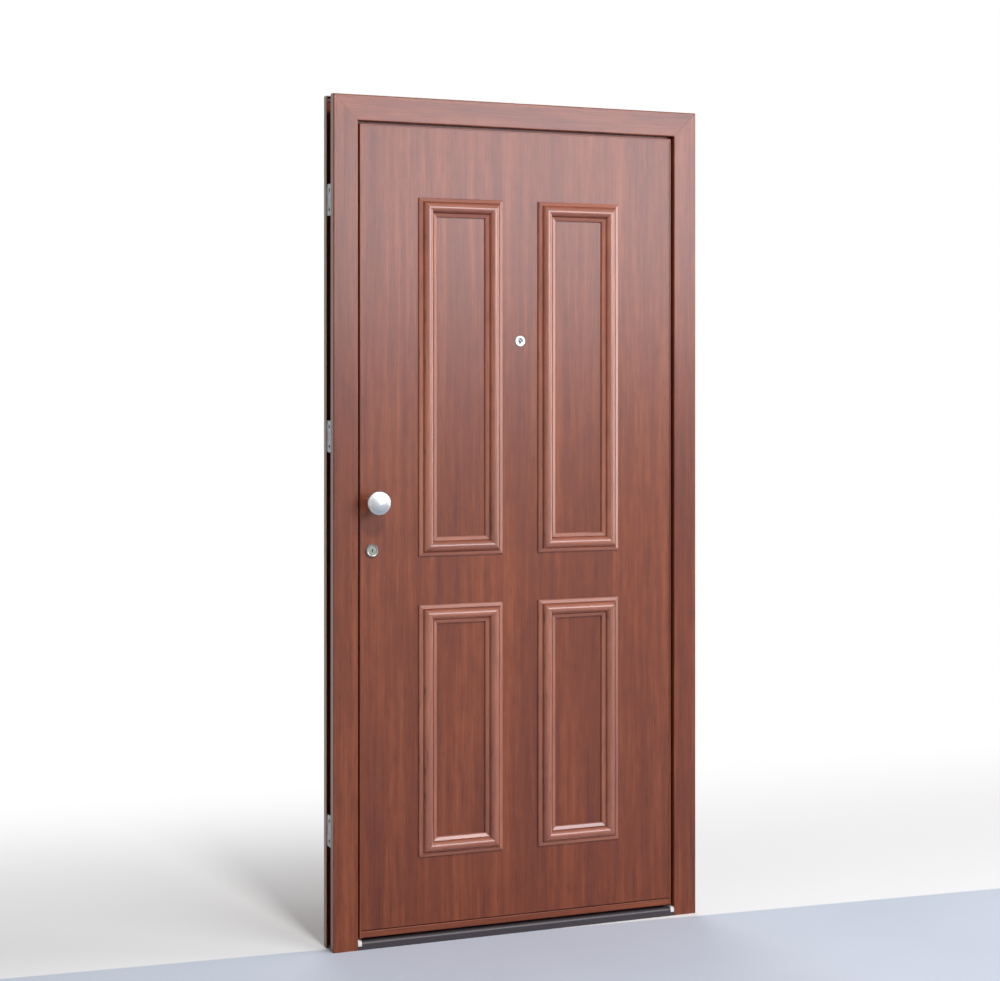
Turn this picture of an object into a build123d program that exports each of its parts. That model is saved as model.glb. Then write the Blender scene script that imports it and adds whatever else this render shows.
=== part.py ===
from build123d import *
import os

# Panelled front door: steel security door with its frame, clad in wood film, opening inwards.
# Millimetres. X runs to the right seen from outside, Y into the room, Z up.
# The origin is on the floor, in the middle of the doorway and of the frame's depth.

# Doorway and frame
passage_width = 900.0
passage_height = 2100.0
frame_face = 66.0
frame_sheet = 2.0
frame_bend = 1.0
rebate_width = 28.0
wall_return = 22.0
frame_margin = 0.5

# Leaf, from the outside face inwards
panel_recess = 8.0
panel_thickness = 16.0
skin_sheet = 1.5
box_depth = 45.0
inner_panel_thickness = 7.0
panel_gap = 6.0
leaf_clearance = 4.0
leaf_lift = 28.0
edge_round = 1.0

# Edge trims of the leaf
trim_sheet = 1.5
trim_bend = 0.5
trim_front_cover = 3.0
trim_back_cover = 8.0
strip_height = 17.0
strip_groove = 2.0

# Seals between leaf and frame
seal_gap = 3.0
seal_width = 12.0
seal_offset = 4.0
seal_clearance = 0.3

# Threshold
threshold_height = 22.0
threshold_wall = 2.5
threshold_nose = 8.0
threshold_ramp = 16.0
cap_width = 10.0
cap_depth = 17.0
cap_height = 13.0
cap_proud = 1.0

# Applied mouldings on the outer panel
moulding_stile = 158.5
moulding_centre_gap = 102.0
moulding_below_head = 189.0
moulding_middle_gap = 125.0
lower_frame_bottom = 220.0
lower_frame_height = 646.0
moulding_width = 49.0
moulding_height = 19.0
moulding_step_width = 9.5
moulding_edge_height = 5.5
moulding_step_height = 8.5
moulding_groove = 1.5
moulding_round = 1.5

# Structure inside the leaf
hat_crown = 56.0
hat_flange = 20.0
hat_sheet = 1.2
slab_gap = 2.0
hinge_channel = 40.0

# Lock
lock_backset = 63.0
knob_height = 1133.0
key_below_knob = 123.0
case_width = 86.0
case_thickness = 26.0
case_wall = 2.0
case_below_key = 35.0
case_above_knob = 42.0
faceplate_width = 28.0
faceplate_margin = 10.0
bolt_radius = 8.0
bolt_count = 4
bolt_below_latch = 7.0
bolt_guide = 12.0
bolt_clearance = 0.08
bolt_above_key = 26.0
bolt_throw = 28.0
carriage_thickness = 4.0
carriage_width = 20.0
latch_height = 20.0
latch_thickness = 14.0
latch_throw = 14.0
latch_guide = 10.0
latch_tail_length = 22.0
latch_tail = 8.0
latch_bevel_depth = 12.0
latch_bevel_width = 9.0
rod_radius = 5.0
rod_inset = 34.0
rod_throw = 16.0
rod_clearance = 0.5
rod_reach_into_case = 25.0
floor_keep_room = 2.0
keep_flange = 9.0
keep_wall = 1.5
strike_thickness = 3.0
strike_clearance = 1.0
cam_radius = 12.0
cam_finger = 15.0
cam_thickness = 10.0

# Knobs, key ring and thumbturn
knob_collar_radius = 13.0
rosette_radius = 26.0
rosette_thickness = 6.0
knob_radius = 31.0
knob_reach = 68.0
knob_neck_radius = 11.0
knob_neck_end = 36.0
knob_widest = 51.0
knob_edge = 5.0
knob_crown = 6.0
knob_flare_width = 0.72
knob_flare_rise = 0.3
knob_edge_turn = 0.3
inner_knob_radius = 29.0
inner_knob_reach = 62.0
stud_radius = 5.0
stud_clearance = 1.0
spindle_side = 8.0
spindle_socket = 14.0
spindle_clearance = 0.8
hub_radius = 11.0
hub_thickness = 12.0
key_ring_radius = 17.5
key_ring_height = 8.0
key_ring_lip = 1.5
key_ring_lip_drop = 1.0
key_body_radius = 12.5
key_body_proud = 5.0
key_plug_radius = 7.5
keyway_width = 2.4
keyway_height = 9.0
keyway_depth = 22.0
tail_thickness = 2.0
tail_width = 9.0
cam_gap = 0.5
turn_rosette_radius = 21.0
turn_rosette_thickness = 7.0
turn_length = 34.0
turn_width = 11.0
turn_end_flat = 1.0
turn_height = 18.0
turn_base_radius = 13.0
turn_base_thickness = 5.0
turn_shaft_radius = 5.0
turning_clearance = 0.05

# Door viewer
viewer_height = 1545.0
viewer_flange_radius = 15.0
viewer_flange_thickness = 3.0
viewer_flange_bevel = 2.0
viewer_tube_radius = 7.0
viewer_bore_radius = 5.5
viewer_funnel_radius = 9.0
viewer_tube_length = 58.0
sleeve_radius = 8.5
sleeve_length = 26.0
lens_thickness = 6.0
lens_rise = 1.4
cover_radius = 11.0
cover_thickness = 2.0
cover_pivot_radius = 1.5
cover_pivot_rise = 10.0
cover_lug_radius = 4.0
cover_gap = 0.3

# Hinges and dog bolts
hinge_low = 250.0
hinge_below_head = 250.0
hinge_half_height = 60.0
knuckle_radius = 9.0
hinge_pin_radius = 5.0
hinge_clearance = 0.05
hinge_gap = 0.5
hinge_axis_inset = 4.0
hinge_plate = 4.0
hinge_leaf_reach = 54.0
hinge_cap = 3.0
dog_count = 3
dog_from_hinge = 250.0
dog_radius = 6.0
dog_inside = 34.0
dog_proud = 16.0
dog_hole_clearance = 2.5

# Wall anchors
anchor_low = 300.0
anchor_above_strike = 135.0
anchor_below_head = 200.0
anchor_height = 80.0
anchor_sheet = 3.0
anchor_hole_radius = 4.5
anchor_hole_pitch = 50.0
access_hole_radius = 8.0

# Drop seal in the bottom of the leaf
drop_case_width = 16.0
drop_case_wall = 1.5
drop_spring_room = 7.7
drop_seal_width = 10.0
drop_seal_height = 24.0
drop_seal_lift = 4.5
drop_seal_gap = 0.3
drop_seal_lock_end = 49.0
drop_seal_hinge_end = 30.0

# Ways along Y, from the middle of the leaf
outside = -1
inside = 1

# Places worked out from the sizes above
leaf_stack = panel_recess + panel_thickness + box_depth + inner_panel_thickness + trim_sheet
frame_depth = leaf_stack + frame_margin
face_y = -frame_depth / 2
back_y = frame_depth / 2
panel_front = face_y + panel_recess
box_front = panel_front + panel_thickness
box_back = box_front + box_depth
leaf_back = box_back + inner_panel_thickness
stop_y = box_front - trim_sheet - seal_gap
lock_y = (box_front + box_back) / 2

passage_half = passage_width / 2
leaf_out = rebate_width - leaf_clearance
box_out = leaf_out - trim_sheet
panel_out = -panel_gap - trim_sheet
leaf_half = passage_half + leaf_out
box_half = passage_half + box_out
panel_half = passage_half + panel_out
frame_half = passage_half + frame_face
rebate_half = passage_half + rebate_width
leaf_top = passage_height + leaf_out
box_top = passage_height + box_out
panel_top = passage_height + panel_out
box_bottom = leaf_lift + trim_sheet
strip_top = leaf_lift + strip_height
panel_bottom = strip_top + strip_groove

leaf_edge_x = -leaf_half
lock_x = leaf_edge_x + lock_backset
faceplate_thickness = trim_sheet + skin_sheet
key_height = knob_height - key_below_knob
case_low = key_height - case_below_key
case_high = knob_height + case_above_knob
faceplate_low = case_low + faceplate_margin
faceplate_high = case_high - faceplate_margin
bolt_low = key_height + bolt_above_key
bolt_high = knob_height - latch_height / 2 - bolt_below_latch - bolt_radius
bolt_pitch = (bolt_high - bolt_low) / (bolt_count - 1)
bolt_heights = [bolt_low + bolt_pitch * i for i in range(bolt_count)]
rod_x = leaf_edge_x + rod_inset

hinge_heights = (hinge_low, passage_height - hinge_below_head)
dog_low = hinge_heights[0] + dog_from_hinge
dog_pitch = (hinge_heights[1] - dog_from_hinge - dog_low) / (dog_count - 1)
dog_heights = [dog_low + dog_pitch * i for i in range(dog_count)]
anchor_heights = (anchor_low, faceplate_high + anchor_above_strike, passage_height - anchor_below_head)
hat_pitch = leaf_half / 2

hinge_x = rebate_half + hinge_axis_inset
hinge_y = back_y + hinge_gap + hinge_gap + knuckle_radius

viewer_point = (0, viewer_height)
knob_point = (lock_x, knob_height)
key_point = (lock_x, key_height)


def block(x, y, z):
    """Box from its low and high ends along each axis."""
    size = (x[1] - x[0], y[1] - y[0], z[1] - z[0])
    middle = ((x[0] + x[1]) / 2, (y[0] + y[1]) / 2, (z[0] + z[1]) / 2)
    return Pos(*middle) * Box(*size)


def bar_y(point, radius, y0, y1):
    """Round bar along Y through a point (x, z) of the door's face."""
    base = Plane(origin=(point[0], y0, point[1]), x_dir=(1, 0, 0), z_dir=(0, 1, 0))
    return extrude(base * Circle(radius), y1 - y0)


def bar_x(y, z, radius, x0, x1):
    """Round bar along X."""
    base = Plane(origin=(x0, y, z), x_dir=(0, 1, 0), z_dir=(1, 0, 0))
    return extrude(base * Circle(radius), x1 - x0)


def bar_z(x, y, radius, z0, z1):
    """Round bar along Z."""
    return extrude(Pos(x, y, z0) * Circle(radius), z1 - z0)


def turned(point, start_y, direction, lines):
    """Solid turned about Y; lines are in (radius, height) and height grows along direction * Y."""
    centre = (point[0], start_y, point[1])
    base = Plane(origin=centre, x_dir=(1, 0, 0), z_dir=(0, 0, direction))
    return revolve(base * make_face(lines), Axis(centre, (0, 1, 0)))


def outline(*points):
    """Closed run of straight lines."""
    return [Polyline(*points, close=True)]


def dome(radius, low, high):
    """Arc of a spherical cap, from its rim to its top on the axis."""
    rise = high - low
    ball = (radius**2 + rise**2) / (2 * rise)
    half_chord = ((radius / 2) ** 2 + (rise / 2) ** 2) ** 0.5
    sagitta = ball - (ball**2 - half_chord**2) ** 0.5
    length = 2 * half_chord
    middle = (radius / 2 + sagitta * rise / length, (low + high) / 2 + sagitta * radius / length)
    return ThreePointArc((radius, low), middle, (0, high))


def along_edge(section, side, z0, z1):
    """Section in (distance out from the passage edge, y) run up a jamb; side is -1 or 1."""
    points = [(side * (passage_half + out), y) for out, y in section["points"]]
    path = FilletPolyline(*points, radius=section["bend"] + section["sheet"] / 2)
    return extrude(Pos(0, 0, z0) * trace(path, line_width=section["sheet"]), z1 - z0)


def along_head(section, half_length):
    """The same section run across the top of the doorway."""
    points = [(y, passage_height + out) for out, y in section["points"]]
    path = FilletPolyline(*points, radius=section["bend"] + section["sheet"] / 2)
    face = Plane.YZ.offset(-half_length) * trace(path, line_width=section["sheet"])
    return extrude(face, 2 * half_length)


def below_mitre(part, side):
    """The part of a jamb, trim or seal below the 45 degree joint at a top corner."""
    corner = Plane((side * passage_half, 0, passage_height), x_dir=(0, 1, 0), z_dir=(side, 0, -1))
    return split(part, bisect_by=corner, keep=Keep.TOP)


def between_mitres(part):
    """The part of a head piece above both 45 degree joints."""
    for side in (-1, 1):
        corner = Plane((side * passage_half, 0, passage_height), x_dir=(0, 1, 0), z_dir=(-side, 0, 1))
        part = split(part, bisect_by=corner, keep=Keep.TOP)
    return part


# Frame: one folded steel section, mitred at the top corners
half_sheet = frame_sheet / 2
frame_section = {
    "sheet": frame_sheet,
    "bend": frame_bend,
    "points": [
        (frame_face - half_sheet, face_y + wall_return),
        (frame_face - half_sheet, face_y + half_sheet),
        (half_sheet, face_y + half_sheet),
        (half_sheet, stop_y - half_sheet),
        (rebate_width + half_sheet, stop_y - half_sheet),
        (rebate_width + half_sheet, back_y - half_sheet),
        (frame_face - half_sheet, back_y - half_sheet),
        (frame_face - half_sheet, back_y - wall_return),
    ],
}
rebate_wall = (rebate_half - frame_sheet, rebate_half + 2 * frame_sheet)


def jamb(side):
    """One jamb with the access holes in front of its wall anchors."""
    part = below_mitre(along_edge(frame_section, side, 0, passage_height + frame_face), side)
    for height in anchor_heights:
        for step in (-0.5, 0.5):
            z = height + step * anchor_hole_pitch
            x0, x1 = sorted((side * rebate_wall[0], side * rebate_wall[1]))
            part -= bar_x(0, z, access_hole_radius, x0, x1)
    return part


lock_jamb = jamb(-1)
lock_jamb -= block(
    (-rebate_wall[1], -rebate_wall[0]),
    (lock_y - faceplate_width / 2, lock_y + faceplate_width / 2),
    (faceplate_low, faceplate_high),
)
hinge_jamb = jamb(1)
for height in dog_heights:
    hinge_jamb -= bar_x(lock_y, height, dog_radius + dog_hole_clearance, rebate_wall[0], rebate_wall[1])
frame_head = between_mitres(along_head(frame_section, frame_half))
head_rebate = passage_height + rebate_width
keep_bore = rod_radius + strike_clearance
keep_hole = keep_bore + keep_wall
frame_head -= bar_z(rod_x, lock_y, keep_hole, head_rebate - frame_sheet, head_rebate + 2 * frame_sheet)


def anchor(side, height):
    """Plate welded between the wall returns, with two fixing holes."""
    outer = side * (frame_half - frame_sheet)
    inner = side * (frame_half - frame_sheet - anchor_sheet)
    x = sorted((outer, inner))
    y = (face_y + frame_sheet + frame_bend, back_y - frame_sheet - frame_bend)
    part = block(x, y, (height - anchor_height / 2, height + anchor_height / 2))
    for step in (-0.5, 0.5):
        part -= bar_x(0, height + step * anchor_hole_pitch, anchor_hole_radius, x[0] - 1, x[1] + 1)
    return part


wall_anchors = Compound([anchor(side, height) for side in (-1, 1) for height in anchor_heights])

# Threshold: hollow rounded section between the jambs, with light corner caps
nose_z = threshold_height - threshold_nose


def threshold_outline(inset):
    """Outline of the threshold in (y, z), drawn in by a wall."""
    front = face_y + inset
    back = back_y - inset
    low = inset
    high = threshold_height - inset
    nose = threshold_nose - inset
    nose_side = nose * (1 - 0.5**0.5)
    nose_middle = (front + nose_side, nose_z + nose - nose_side)
    ramp_top = back_y - threshold_ramp
    ramp_foot = threshold_height - threshold_ramp / 2
    return [
        Line((front, low), (front, nose_z)),
        ThreePointArc((front, nose_z), nose_middle, (front + nose, high)),
        Line((front + nose, high), (ramp_top, high)),
        Line((ramp_top, high), (back, ramp_foot - inset)),
        Line((back, ramp_foot - inset), (back, low)),
        Line((back, low), (front, low)),
    ]


def across(lines, half_length):
    """A (y, z) outline run across the doorway."""
    return extrude(Plane.YZ.offset(-half_length) * make_face(lines), 2 * half_length)


threshold = across(threshold_outline(0), rebate_half)
hollow = across(threshold_outline(threshold_wall), rebate_half)
rib_y = (stop_y, stop_y + frame_bend + threshold_wall)
rib = block((-rebate_half, rebate_half), rib_y, (0, threshold_height))
post = bar_z(rod_x, lock_y, keep_flange + threshold_wall, 0, threshold_height)
threshold -= hollow - rib - post
for side in (-1, 1):
    x = sorted((side * passage_half, side * frame_half))
    threshold -= block(x, (face_y - 1, stop_y + frame_bend), (-1, threshold_height + 1))
cap_top = threshold_height + cap_proud


def threshold_cap(side):
    """Corner block let into one end of the threshold."""
    x = sorted((side * (passage_half - cap_width), side * passage_half))
    part = block(x, (face_y, face_y + cap_depth), (cap_top - cap_height, cap_top))
    nose_edges = part.edges().filter_by(Axis.X).group_by(Axis.Y)[0].group_by(Axis.Z)[-1]
    return fillet(nose_edges, threshold_nose)


threshold_caps = Compound([threshold_cap(side) for side in (-1, 1)])
for side in (-1, 1):
    x = sorted((side * (passage_half - cap_width), side * frame_half))
    threshold -= block(x, (face_y - 1, face_y + cap_depth), (cap_top - cap_height, cap_top))
floor_keep_low = threshold_height - rod_throw - floor_keep_room
threshold -= bar_z(rod_x, lock_y, keep_hole, floor_keep_low, threshold_height + 1)
floor_rod_keep = bar_z(rod_x, lock_y, keep_hole, floor_keep_low, threshold_height)
floor_rod_keep -= bar_z(rod_x, lock_y, keep_bore, floor_keep_low + keep_wall, threshold_height)
collar = (head_rebate + frame_sheet, head_rebate + 2 * frame_sheet)
head_rod_keep = bar_z(rod_x, lock_y, keep_hole, head_rebate, collar[0] + rod_throw)
head_rod_keep += bar_z(rod_x, lock_y, keep_hole + keep_wall, collar[0], collar[1])
head_rod_keep -= bar_z(rod_x, lock_y, keep_bore, head_rebate, head_rebate + rod_throw)

# Seals on the stop of the frame, rounded towards the leaf
seal_crown = stop_y + seal_gap - seal_clearance
seal_ends = (seal_offset, seal_offset + seal_width)


def seal_face(place):
    """D-shaped seal section; place turns (distance out, y) into the drawing's axes."""
    start = place(seal_ends[0], stop_y)
    crown = place(seal_offset + seal_width / 2, seal_crown)
    end = place(seal_ends[1], stop_y)
    return make_face([ThreePointArc(start, crown, end), Line(end, start)])


def side_seal(side):
    """Seal up one jamb, from the threshold to the corner."""
    face = seal_face(lambda out, y: (side * (passage_half + out), y))
    length = passage_height + frame_face - threshold_height
    return below_mitre(extrude(Pos(0, 0, threshold_height) * face, length), side)


seal_lock_side = side_seal(-1)
seal_hinge_side = side_seal(1)
head_seal_face = seal_face(lambda out, y: (y, passage_height + out))
seal_head = between_mitres(extrude(Plane.YZ.offset(-frame_half) * head_seal_face, 2 * frame_half))

# Leaf box: outer skin with folded sides, inner skin set between them
box_x = (-box_half, box_half)
box_z = (box_bottom, box_top)
outer_skin = block(box_x, (box_front, box_back), box_z)
outer_skin = fillet(outer_skin.faces().sort_by(Axis.Y)[0].edges(), trim_sheet + trim_bend)
skin_x = (-box_half + skin_sheet, box_half - skin_sheet)
skin_z = (box_bottom + skin_sheet, box_top - skin_sheet)
outer_skin -= block(skin_x, (box_front + skin_sheet, box_back), skin_z)
inner_skin = block(skin_x, (box_back - skin_sheet, box_back), skin_z)
core_y = (box_front + skin_sheet, box_back - skin_sheet)

# Edge trims: folded sheet round the leaf's edges, mitred at the top corners
half_trim = trim_sheet / 2
trim_section = {
    "sheet": trim_sheet,
    "bend": trim_bend,
    "points": [
        (panel_out - trim_front_cover, panel_front - half_trim),
        (-panel_gap - half_trim, panel_front - half_trim),
        (-panel_gap - half_trim, box_front - half_trim),
        (leaf_out - half_trim, box_front - half_trim),
        (leaf_out - half_trim, leaf_back + half_trim),
        (leaf_out - trim_back_cover, leaf_back + half_trim),
    ],
}
lock_edge_trim = below_mitre(along_edge(trim_section, -1, leaf_lift, passage_height + frame_face), -1)
hinge_edge_trim = below_mitre(along_edge(trim_section, 1, leaf_lift, passage_height + frame_face), 1)
top_edge_trim = between_mitres(along_head(trim_section, frame_half))
back_cover_half = leaf_half - trim_back_cover
strip_points = [
    (box_front, strip_top - half_trim),
    (panel_front + half_trim, strip_top - half_trim),
    (panel_front + half_trim, leaf_lift + half_trim),
    (leaf_back + half_trim, leaf_lift + half_trim),
    (leaf_back + half_trim, strip_top),
]
strip_path = FilletPolyline(*strip_points, radius=trim_bend + half_trim)
strip_face = Plane.YZ.offset(-back_cover_half) * trace(strip_path, line_width=trim_sheet)
bottom_edge_trim = extrude(strip_face, 2 * back_cover_half)
for side in (-1, 1):
    x = sorted((side * (panel_half - trim_bend), side * frame_half))
    bottom_edge_trim -= block(x, (face_y - 1, box_front), (leaf_lift - 1, strip_top + 1))

# Outer and inner panels, with softened edges under the folds of the trims
panel_x = (-panel_half, panel_half)
outer_panel = block(panel_x, (panel_front, box_front), (panel_bottom, panel_top))
outer_panel = fillet(outer_panel.faces().sort_by(Axis.Y)[0].edges(), edge_round)
inner_panel = block(box_x, (box_back, leaf_back), box_z)
inner_panel = fillet(inner_panel.faces().sort_by(Axis.Y)[-1].edges(), edge_round)

# Applied mouldings: a torus between two low steps, mitred into four frames
torus_start = moulding_step_width + moulding_groove
torus_end = moulding_width - torus_start
groove_height = moulding_step_height - moulding_groove
moulding_frame_width = panel_half - moulding_stile - moulding_centre_gap / 2
left_frame_x = moulding_stile - panel_half
right_frame_x = moulding_centre_gap / 2
upper_frame_bottom = lower_frame_bottom + lower_frame_height + moulding_middle_gap
upper_frame_height = passage_height - moulding_below_head - upper_frame_bottom


def moulding_face(edge, inward, place):
    """Moulding section from its outer edge inwards; place turns (across, y) into the drawing's axes."""
    def at(across_width, height):
        return place(edge + inward * across_width, panel_front - height)

    outer_step = at(moulding_step_width, moulding_step_height)
    outer_groove = at(torus_start, groove_height)
    crown = at(moulding_width / 2, moulding_height)
    inner_groove = at(torus_end, groove_height)
    inner_step = at(moulding_width - moulding_step_width, moulding_step_height)
    outer_edge = at(0, moulding_edge_height - moulding_round)
    outer_top = at(moulding_round, moulding_edge_height)
    inner_top = at(moulding_width - moulding_round, moulding_edge_height)
    inner_edge = at(moulding_width, moulding_edge_height - moulding_round)
    return make_face([
        Line(at(0, 0), outer_edge),
        Line(outer_edge, outer_top),
        Line(outer_top, outer_step),
        Line(outer_step, outer_groove),
        ThreePointArc(outer_groove, crown, inner_groove),
        Line(inner_groove, inner_step),
        Line(inner_step, inner_top),
        Line(inner_top, inner_edge),
        Line(inner_edge, at(moulding_width, 0)),
        Line(at(moulding_width, 0), at(0, 0)),
    ])


def corner_cut(part, x, z, x_way, z_way, keep_upright):
    """Keeps an upright's or a rail's side of the mitre through a frame corner."""
    keep = 1 if keep_upright else -1
    normal = (-x_way * keep, 0, z_way * keep)
    return split(part, bisect_by=Plane((x, 0, z), x_dir=(0, 1, 0), z_dir=normal), keep=Keep.TOP)


def moulding_frame(x0, z0, height):
    """Four mitred lengths of moulding on the outer panel."""
    x1 = x0 + moulding_frame_width
    z1 = z0 + height
    pieces = []
    for x, way in ((x0, 1), (x1, -1)):
        face = moulding_face(x, way, lambda across_width, y: (across_width, y))
        upright = extrude(Pos(0, 0, z0) * face, height)
        upright = corner_cut(upright, x, z0, way, 1, True)
        pieces.append(corner_cut(upright, x, z1, way, -1, True))
    for z, way in ((z0, 1), (z1, -1)):
        face = moulding_face(z, way, lambda across_width, y: (y, across_width))
        rail = extrude(Plane.YZ.offset(x0) * face, moulding_frame_width)
        rail = corner_cut(rail, x0, z, 1, way, False)
        pieces.append(corner_cut(rail, x1, z, -1, way, False))
    return Compound(pieces)


upper_left_moulding = moulding_frame(left_frame_x, upper_frame_bottom, upper_frame_height)
upper_right_moulding = moulding_frame(right_frame_x, upper_frame_bottom, upper_frame_height)
lower_left_moulding = moulding_frame(left_frame_x, lower_frame_bottom, lower_frame_height)
lower_right_moulding = moulding_frame(right_frame_x, lower_frame_bottom, lower_frame_height)

# Drop seal: a strip that slides in a channel let into the bottom of the leaf
drop_x = (leaf_edge_x + drop_seal_lock_end, leaf_half - drop_seal_hinge_end)
blade_low = threshold_height + drop_seal_gap
drop_top = blade_low + drop_seal_height + drop_seal_lift + drop_spring_room + drop_case_wall
drop_y = (lock_y - drop_case_width / 2, lock_y + drop_case_width / 2)
drop_inner_y = (drop_y[0] + drop_case_wall, drop_y[1] - drop_case_wall)
drop_seal_case = block(drop_x, drop_y, (leaf_lift, drop_top))
drop_seal_case -= block(
    (drop_x[0] + drop_case_wall, drop_x[1] - drop_case_wall),
    drop_inner_y,
    (leaf_lift, drop_top - drop_case_wall),
)
blade_ends = (drop_x[0] + 2 * drop_case_wall, drop_x[1] - 2 * drop_case_wall)
blade_y = (lock_y - drop_seal_width / 2, lock_y + drop_seal_width / 2)
drop_seal = block(blade_ends, blade_y, (blade_low, blade_low + drop_seal_height))
drop_seal = fillet(drop_seal.edges().filter_by(Axis.X).group_by(Axis.Z)[0], drop_seal_width / 3)
drop_slot = block(drop_x, drop_y, (leaf_lift - 1, drop_top))
outer_skin -= drop_slot
bottom_edge_trim -= drop_slot

# Stiffeners: hat sections welded to the outer skin; insulation slabs between them
hat_low = drop_top + slab_gap
hat_high = skin_z[1] - slab_gap
half_hat = hat_sheet / 2
hat_half = hat_crown / 2 - half_hat


def stiffener(x):
    """Folded hat section, its crown against the inner skin."""
    low = core_y[0] + half_hat
    high = core_y[1] - half_hat
    points = [
        (x - hat_half - hat_flange, low),
        (x - hat_half, low),
        (x - hat_half, high),
        (x + hat_half, high),
        (x + hat_half, low),
        (x + hat_half + hat_flange, low),
    ]
    path = FilletPolyline(*points, radius=2 * hat_sheet)
    return extrude(Pos(0, 0, hat_low) * trace(path, line_width=hat_sheet), hat_high - hat_low)


stiffener_lock_side = stiffener(-hat_pitch)
stiffener_centre = stiffener(0)
stiffener_hinge_side = stiffener(hat_pitch)
hat_reach = hat_half + hat_flange + slab_gap
slab_ends = [
    (leaf_edge_x + case_width + slab_gap, -hat_pitch - hat_reach),
    (-hat_pitch + hat_reach, -hat_reach),
    (hat_reach, hat_pitch - hat_reach),
    (hat_pitch + hat_reach, leaf_half - hinge_channel),
]
insulation = Compound([block(ends, core_y, (hat_low, hat_high)) for ends in slab_ends])

# Lock: case, faceplate, bolts, latch, rods and cam
faceplate_x = (leaf_edge_x, leaf_edge_x + faceplate_thickness)
faceplate_y = (lock_y - faceplate_width / 2, lock_y + faceplate_width / 2)
lock_faceplate = block(faceplate_x, faceplate_y, (faceplate_low, faceplate_high))
edge_window = block((leaf_edge_x - 1, faceplate_x[1]), faceplate_y, (faceplate_low, faceplate_high))
lock_edge_trim -= edge_window
outer_skin -= edge_window
case_x = (faceplate_x[1], leaf_edge_x + case_width)
case_y = (lock_y - case_thickness / 2, lock_y + case_thickness / 2)
lock_case = block(case_x, case_y, (case_low, case_high))
lock_case -= block(
    (case_x[0], case_x[1] - case_wall),
    (case_y[0] + case_wall, case_y[1] - case_wall),
    (case_low + case_wall, case_high - case_wall),
)
latch_y = (lock_y - latch_thickness / 2, lock_y + latch_thickness / 2)
latch_z = (knob_height - latch_height / 2, knob_height + latch_height / 2)
latch_head_x = leaf_edge_x + latch_throw + latch_guide
latch_bolt = block((leaf_edge_x, latch_head_x), latch_y, latch_z)
bevel = latch_bolt.edges().filter_by(Axis.Z).group_by(Axis.X)[0].sort_by(Axis.Y)[0]
latch_bolt = chamfer(bevel, latch_bevel_depth, latch_bevel_width)
latch_bolt += block(
    (latch_head_x, latch_head_x + latch_tail_length),
    (lock_y - latch_tail / 2, lock_y + latch_tail / 2),
    (knob_height - latch_tail / 2, knob_height + latch_tail / 2),
)
latch_slot = block(
    (leaf_edge_x - 1, faceplate_x[1] + 1),
    (latch_y[0] - bolt_clearance, latch_y[1] + bolt_clearance),
    (latch_z[0] - bolt_clearance, latch_z[1] + bolt_clearance),
)
lock_faceplate -= latch_slot
bolt_end_x = leaf_edge_x + bolt_throw + bolt_guide


def deadbolt(height):
    """Round bolt with a softened nose, drawn back flush with the leaf's edge."""
    bolt = bar_x(lock_y, height, bolt_radius, leaf_edge_x, bolt_end_x)
    return chamfer(bolt.faces().sort_by(Axis.X)[0].edges(), bolt_radius / 8)


deadbolts = Compound([deadbolt(height) for height in bolt_heights])
carriage_z = (bolt_heights[0] - bolt_radius, bolt_heights[-1] + bolt_radius)
bolt_carriage = block(
    (bolt_end_x, bolt_end_x + carriage_thickness),
    (lock_y - carriage_width / 2, lock_y + carriage_width / 2),
    carriage_z,
)
for height in bolt_heights:
    hole = bar_x(lock_y, height, bolt_radius + bolt_clearance, leaf_edge_x - 1, faceplate_x[1] + 1)
    lock_faceplate -= hole
upper_rod = bar_z(rod_x, lock_y, rod_radius, case_high - rod_reach_into_case, leaf_top)
lower_rod = bar_z(rod_x, lock_y, rod_radius, leaf_lift + trim_sheet, case_low + rod_reach_into_case)
rod_way = bar_z(rod_x, lock_y, rod_radius + rod_clearance, 0, passage_height + frame_face)
lock_case -= rod_way
outer_skin -= rod_way
top_edge_trim -= rod_way
bottom_edge_trim -= rod_way
cam_y = (lock_y - cam_thickness / 2, lock_y + cam_thickness / 2)
lock_cam = bar_y(key_point, cam_radius, cam_y[0], cam_y[1])
lock_cam += block(
    (lock_x + cam_radius / 2, lock_x + cam_finger),
    cam_y,
    (key_height - cam_radius / 3, key_height + cam_radius / 3),
)

# Strike plate let into the lock jamb
strike_x = (-rebate_half - strike_thickness, -rebate_half)
strike_plate = block(strike_x, faceplate_y, (faceplate_low, faceplate_high))
for height in bolt_heights:
    hole_radius = bolt_radius + strike_clearance
    strike_plate -= bar_x(lock_y, height, hole_radius, strike_x[0] - 1, strike_x[1] + 1)
strike_plate -= block(
    (strike_x[0] - 1, strike_x[1] + 1),
    (latch_y[0] - strike_clearance, latch_y[1] + strike_clearance),
    (latch_z[0] - strike_clearance, latch_z[1] + strike_clearance),
)


# Knobs: mushroom heads, the outer one fixed on a narrow collar, the inner one turning on a wide rose
def rosette(point, start_y, direction, radius, thickness, bore):
    """Low round rose with a bevelled rim."""
    bevel_size = thickness / 2
    return turned(point, start_y, direction, outline(
        (bore, 0),
        (radius, 0),
        (radius, bevel_size),
        (radius - bevel_size, thickness),
        (bore, thickness),
    ))


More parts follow.
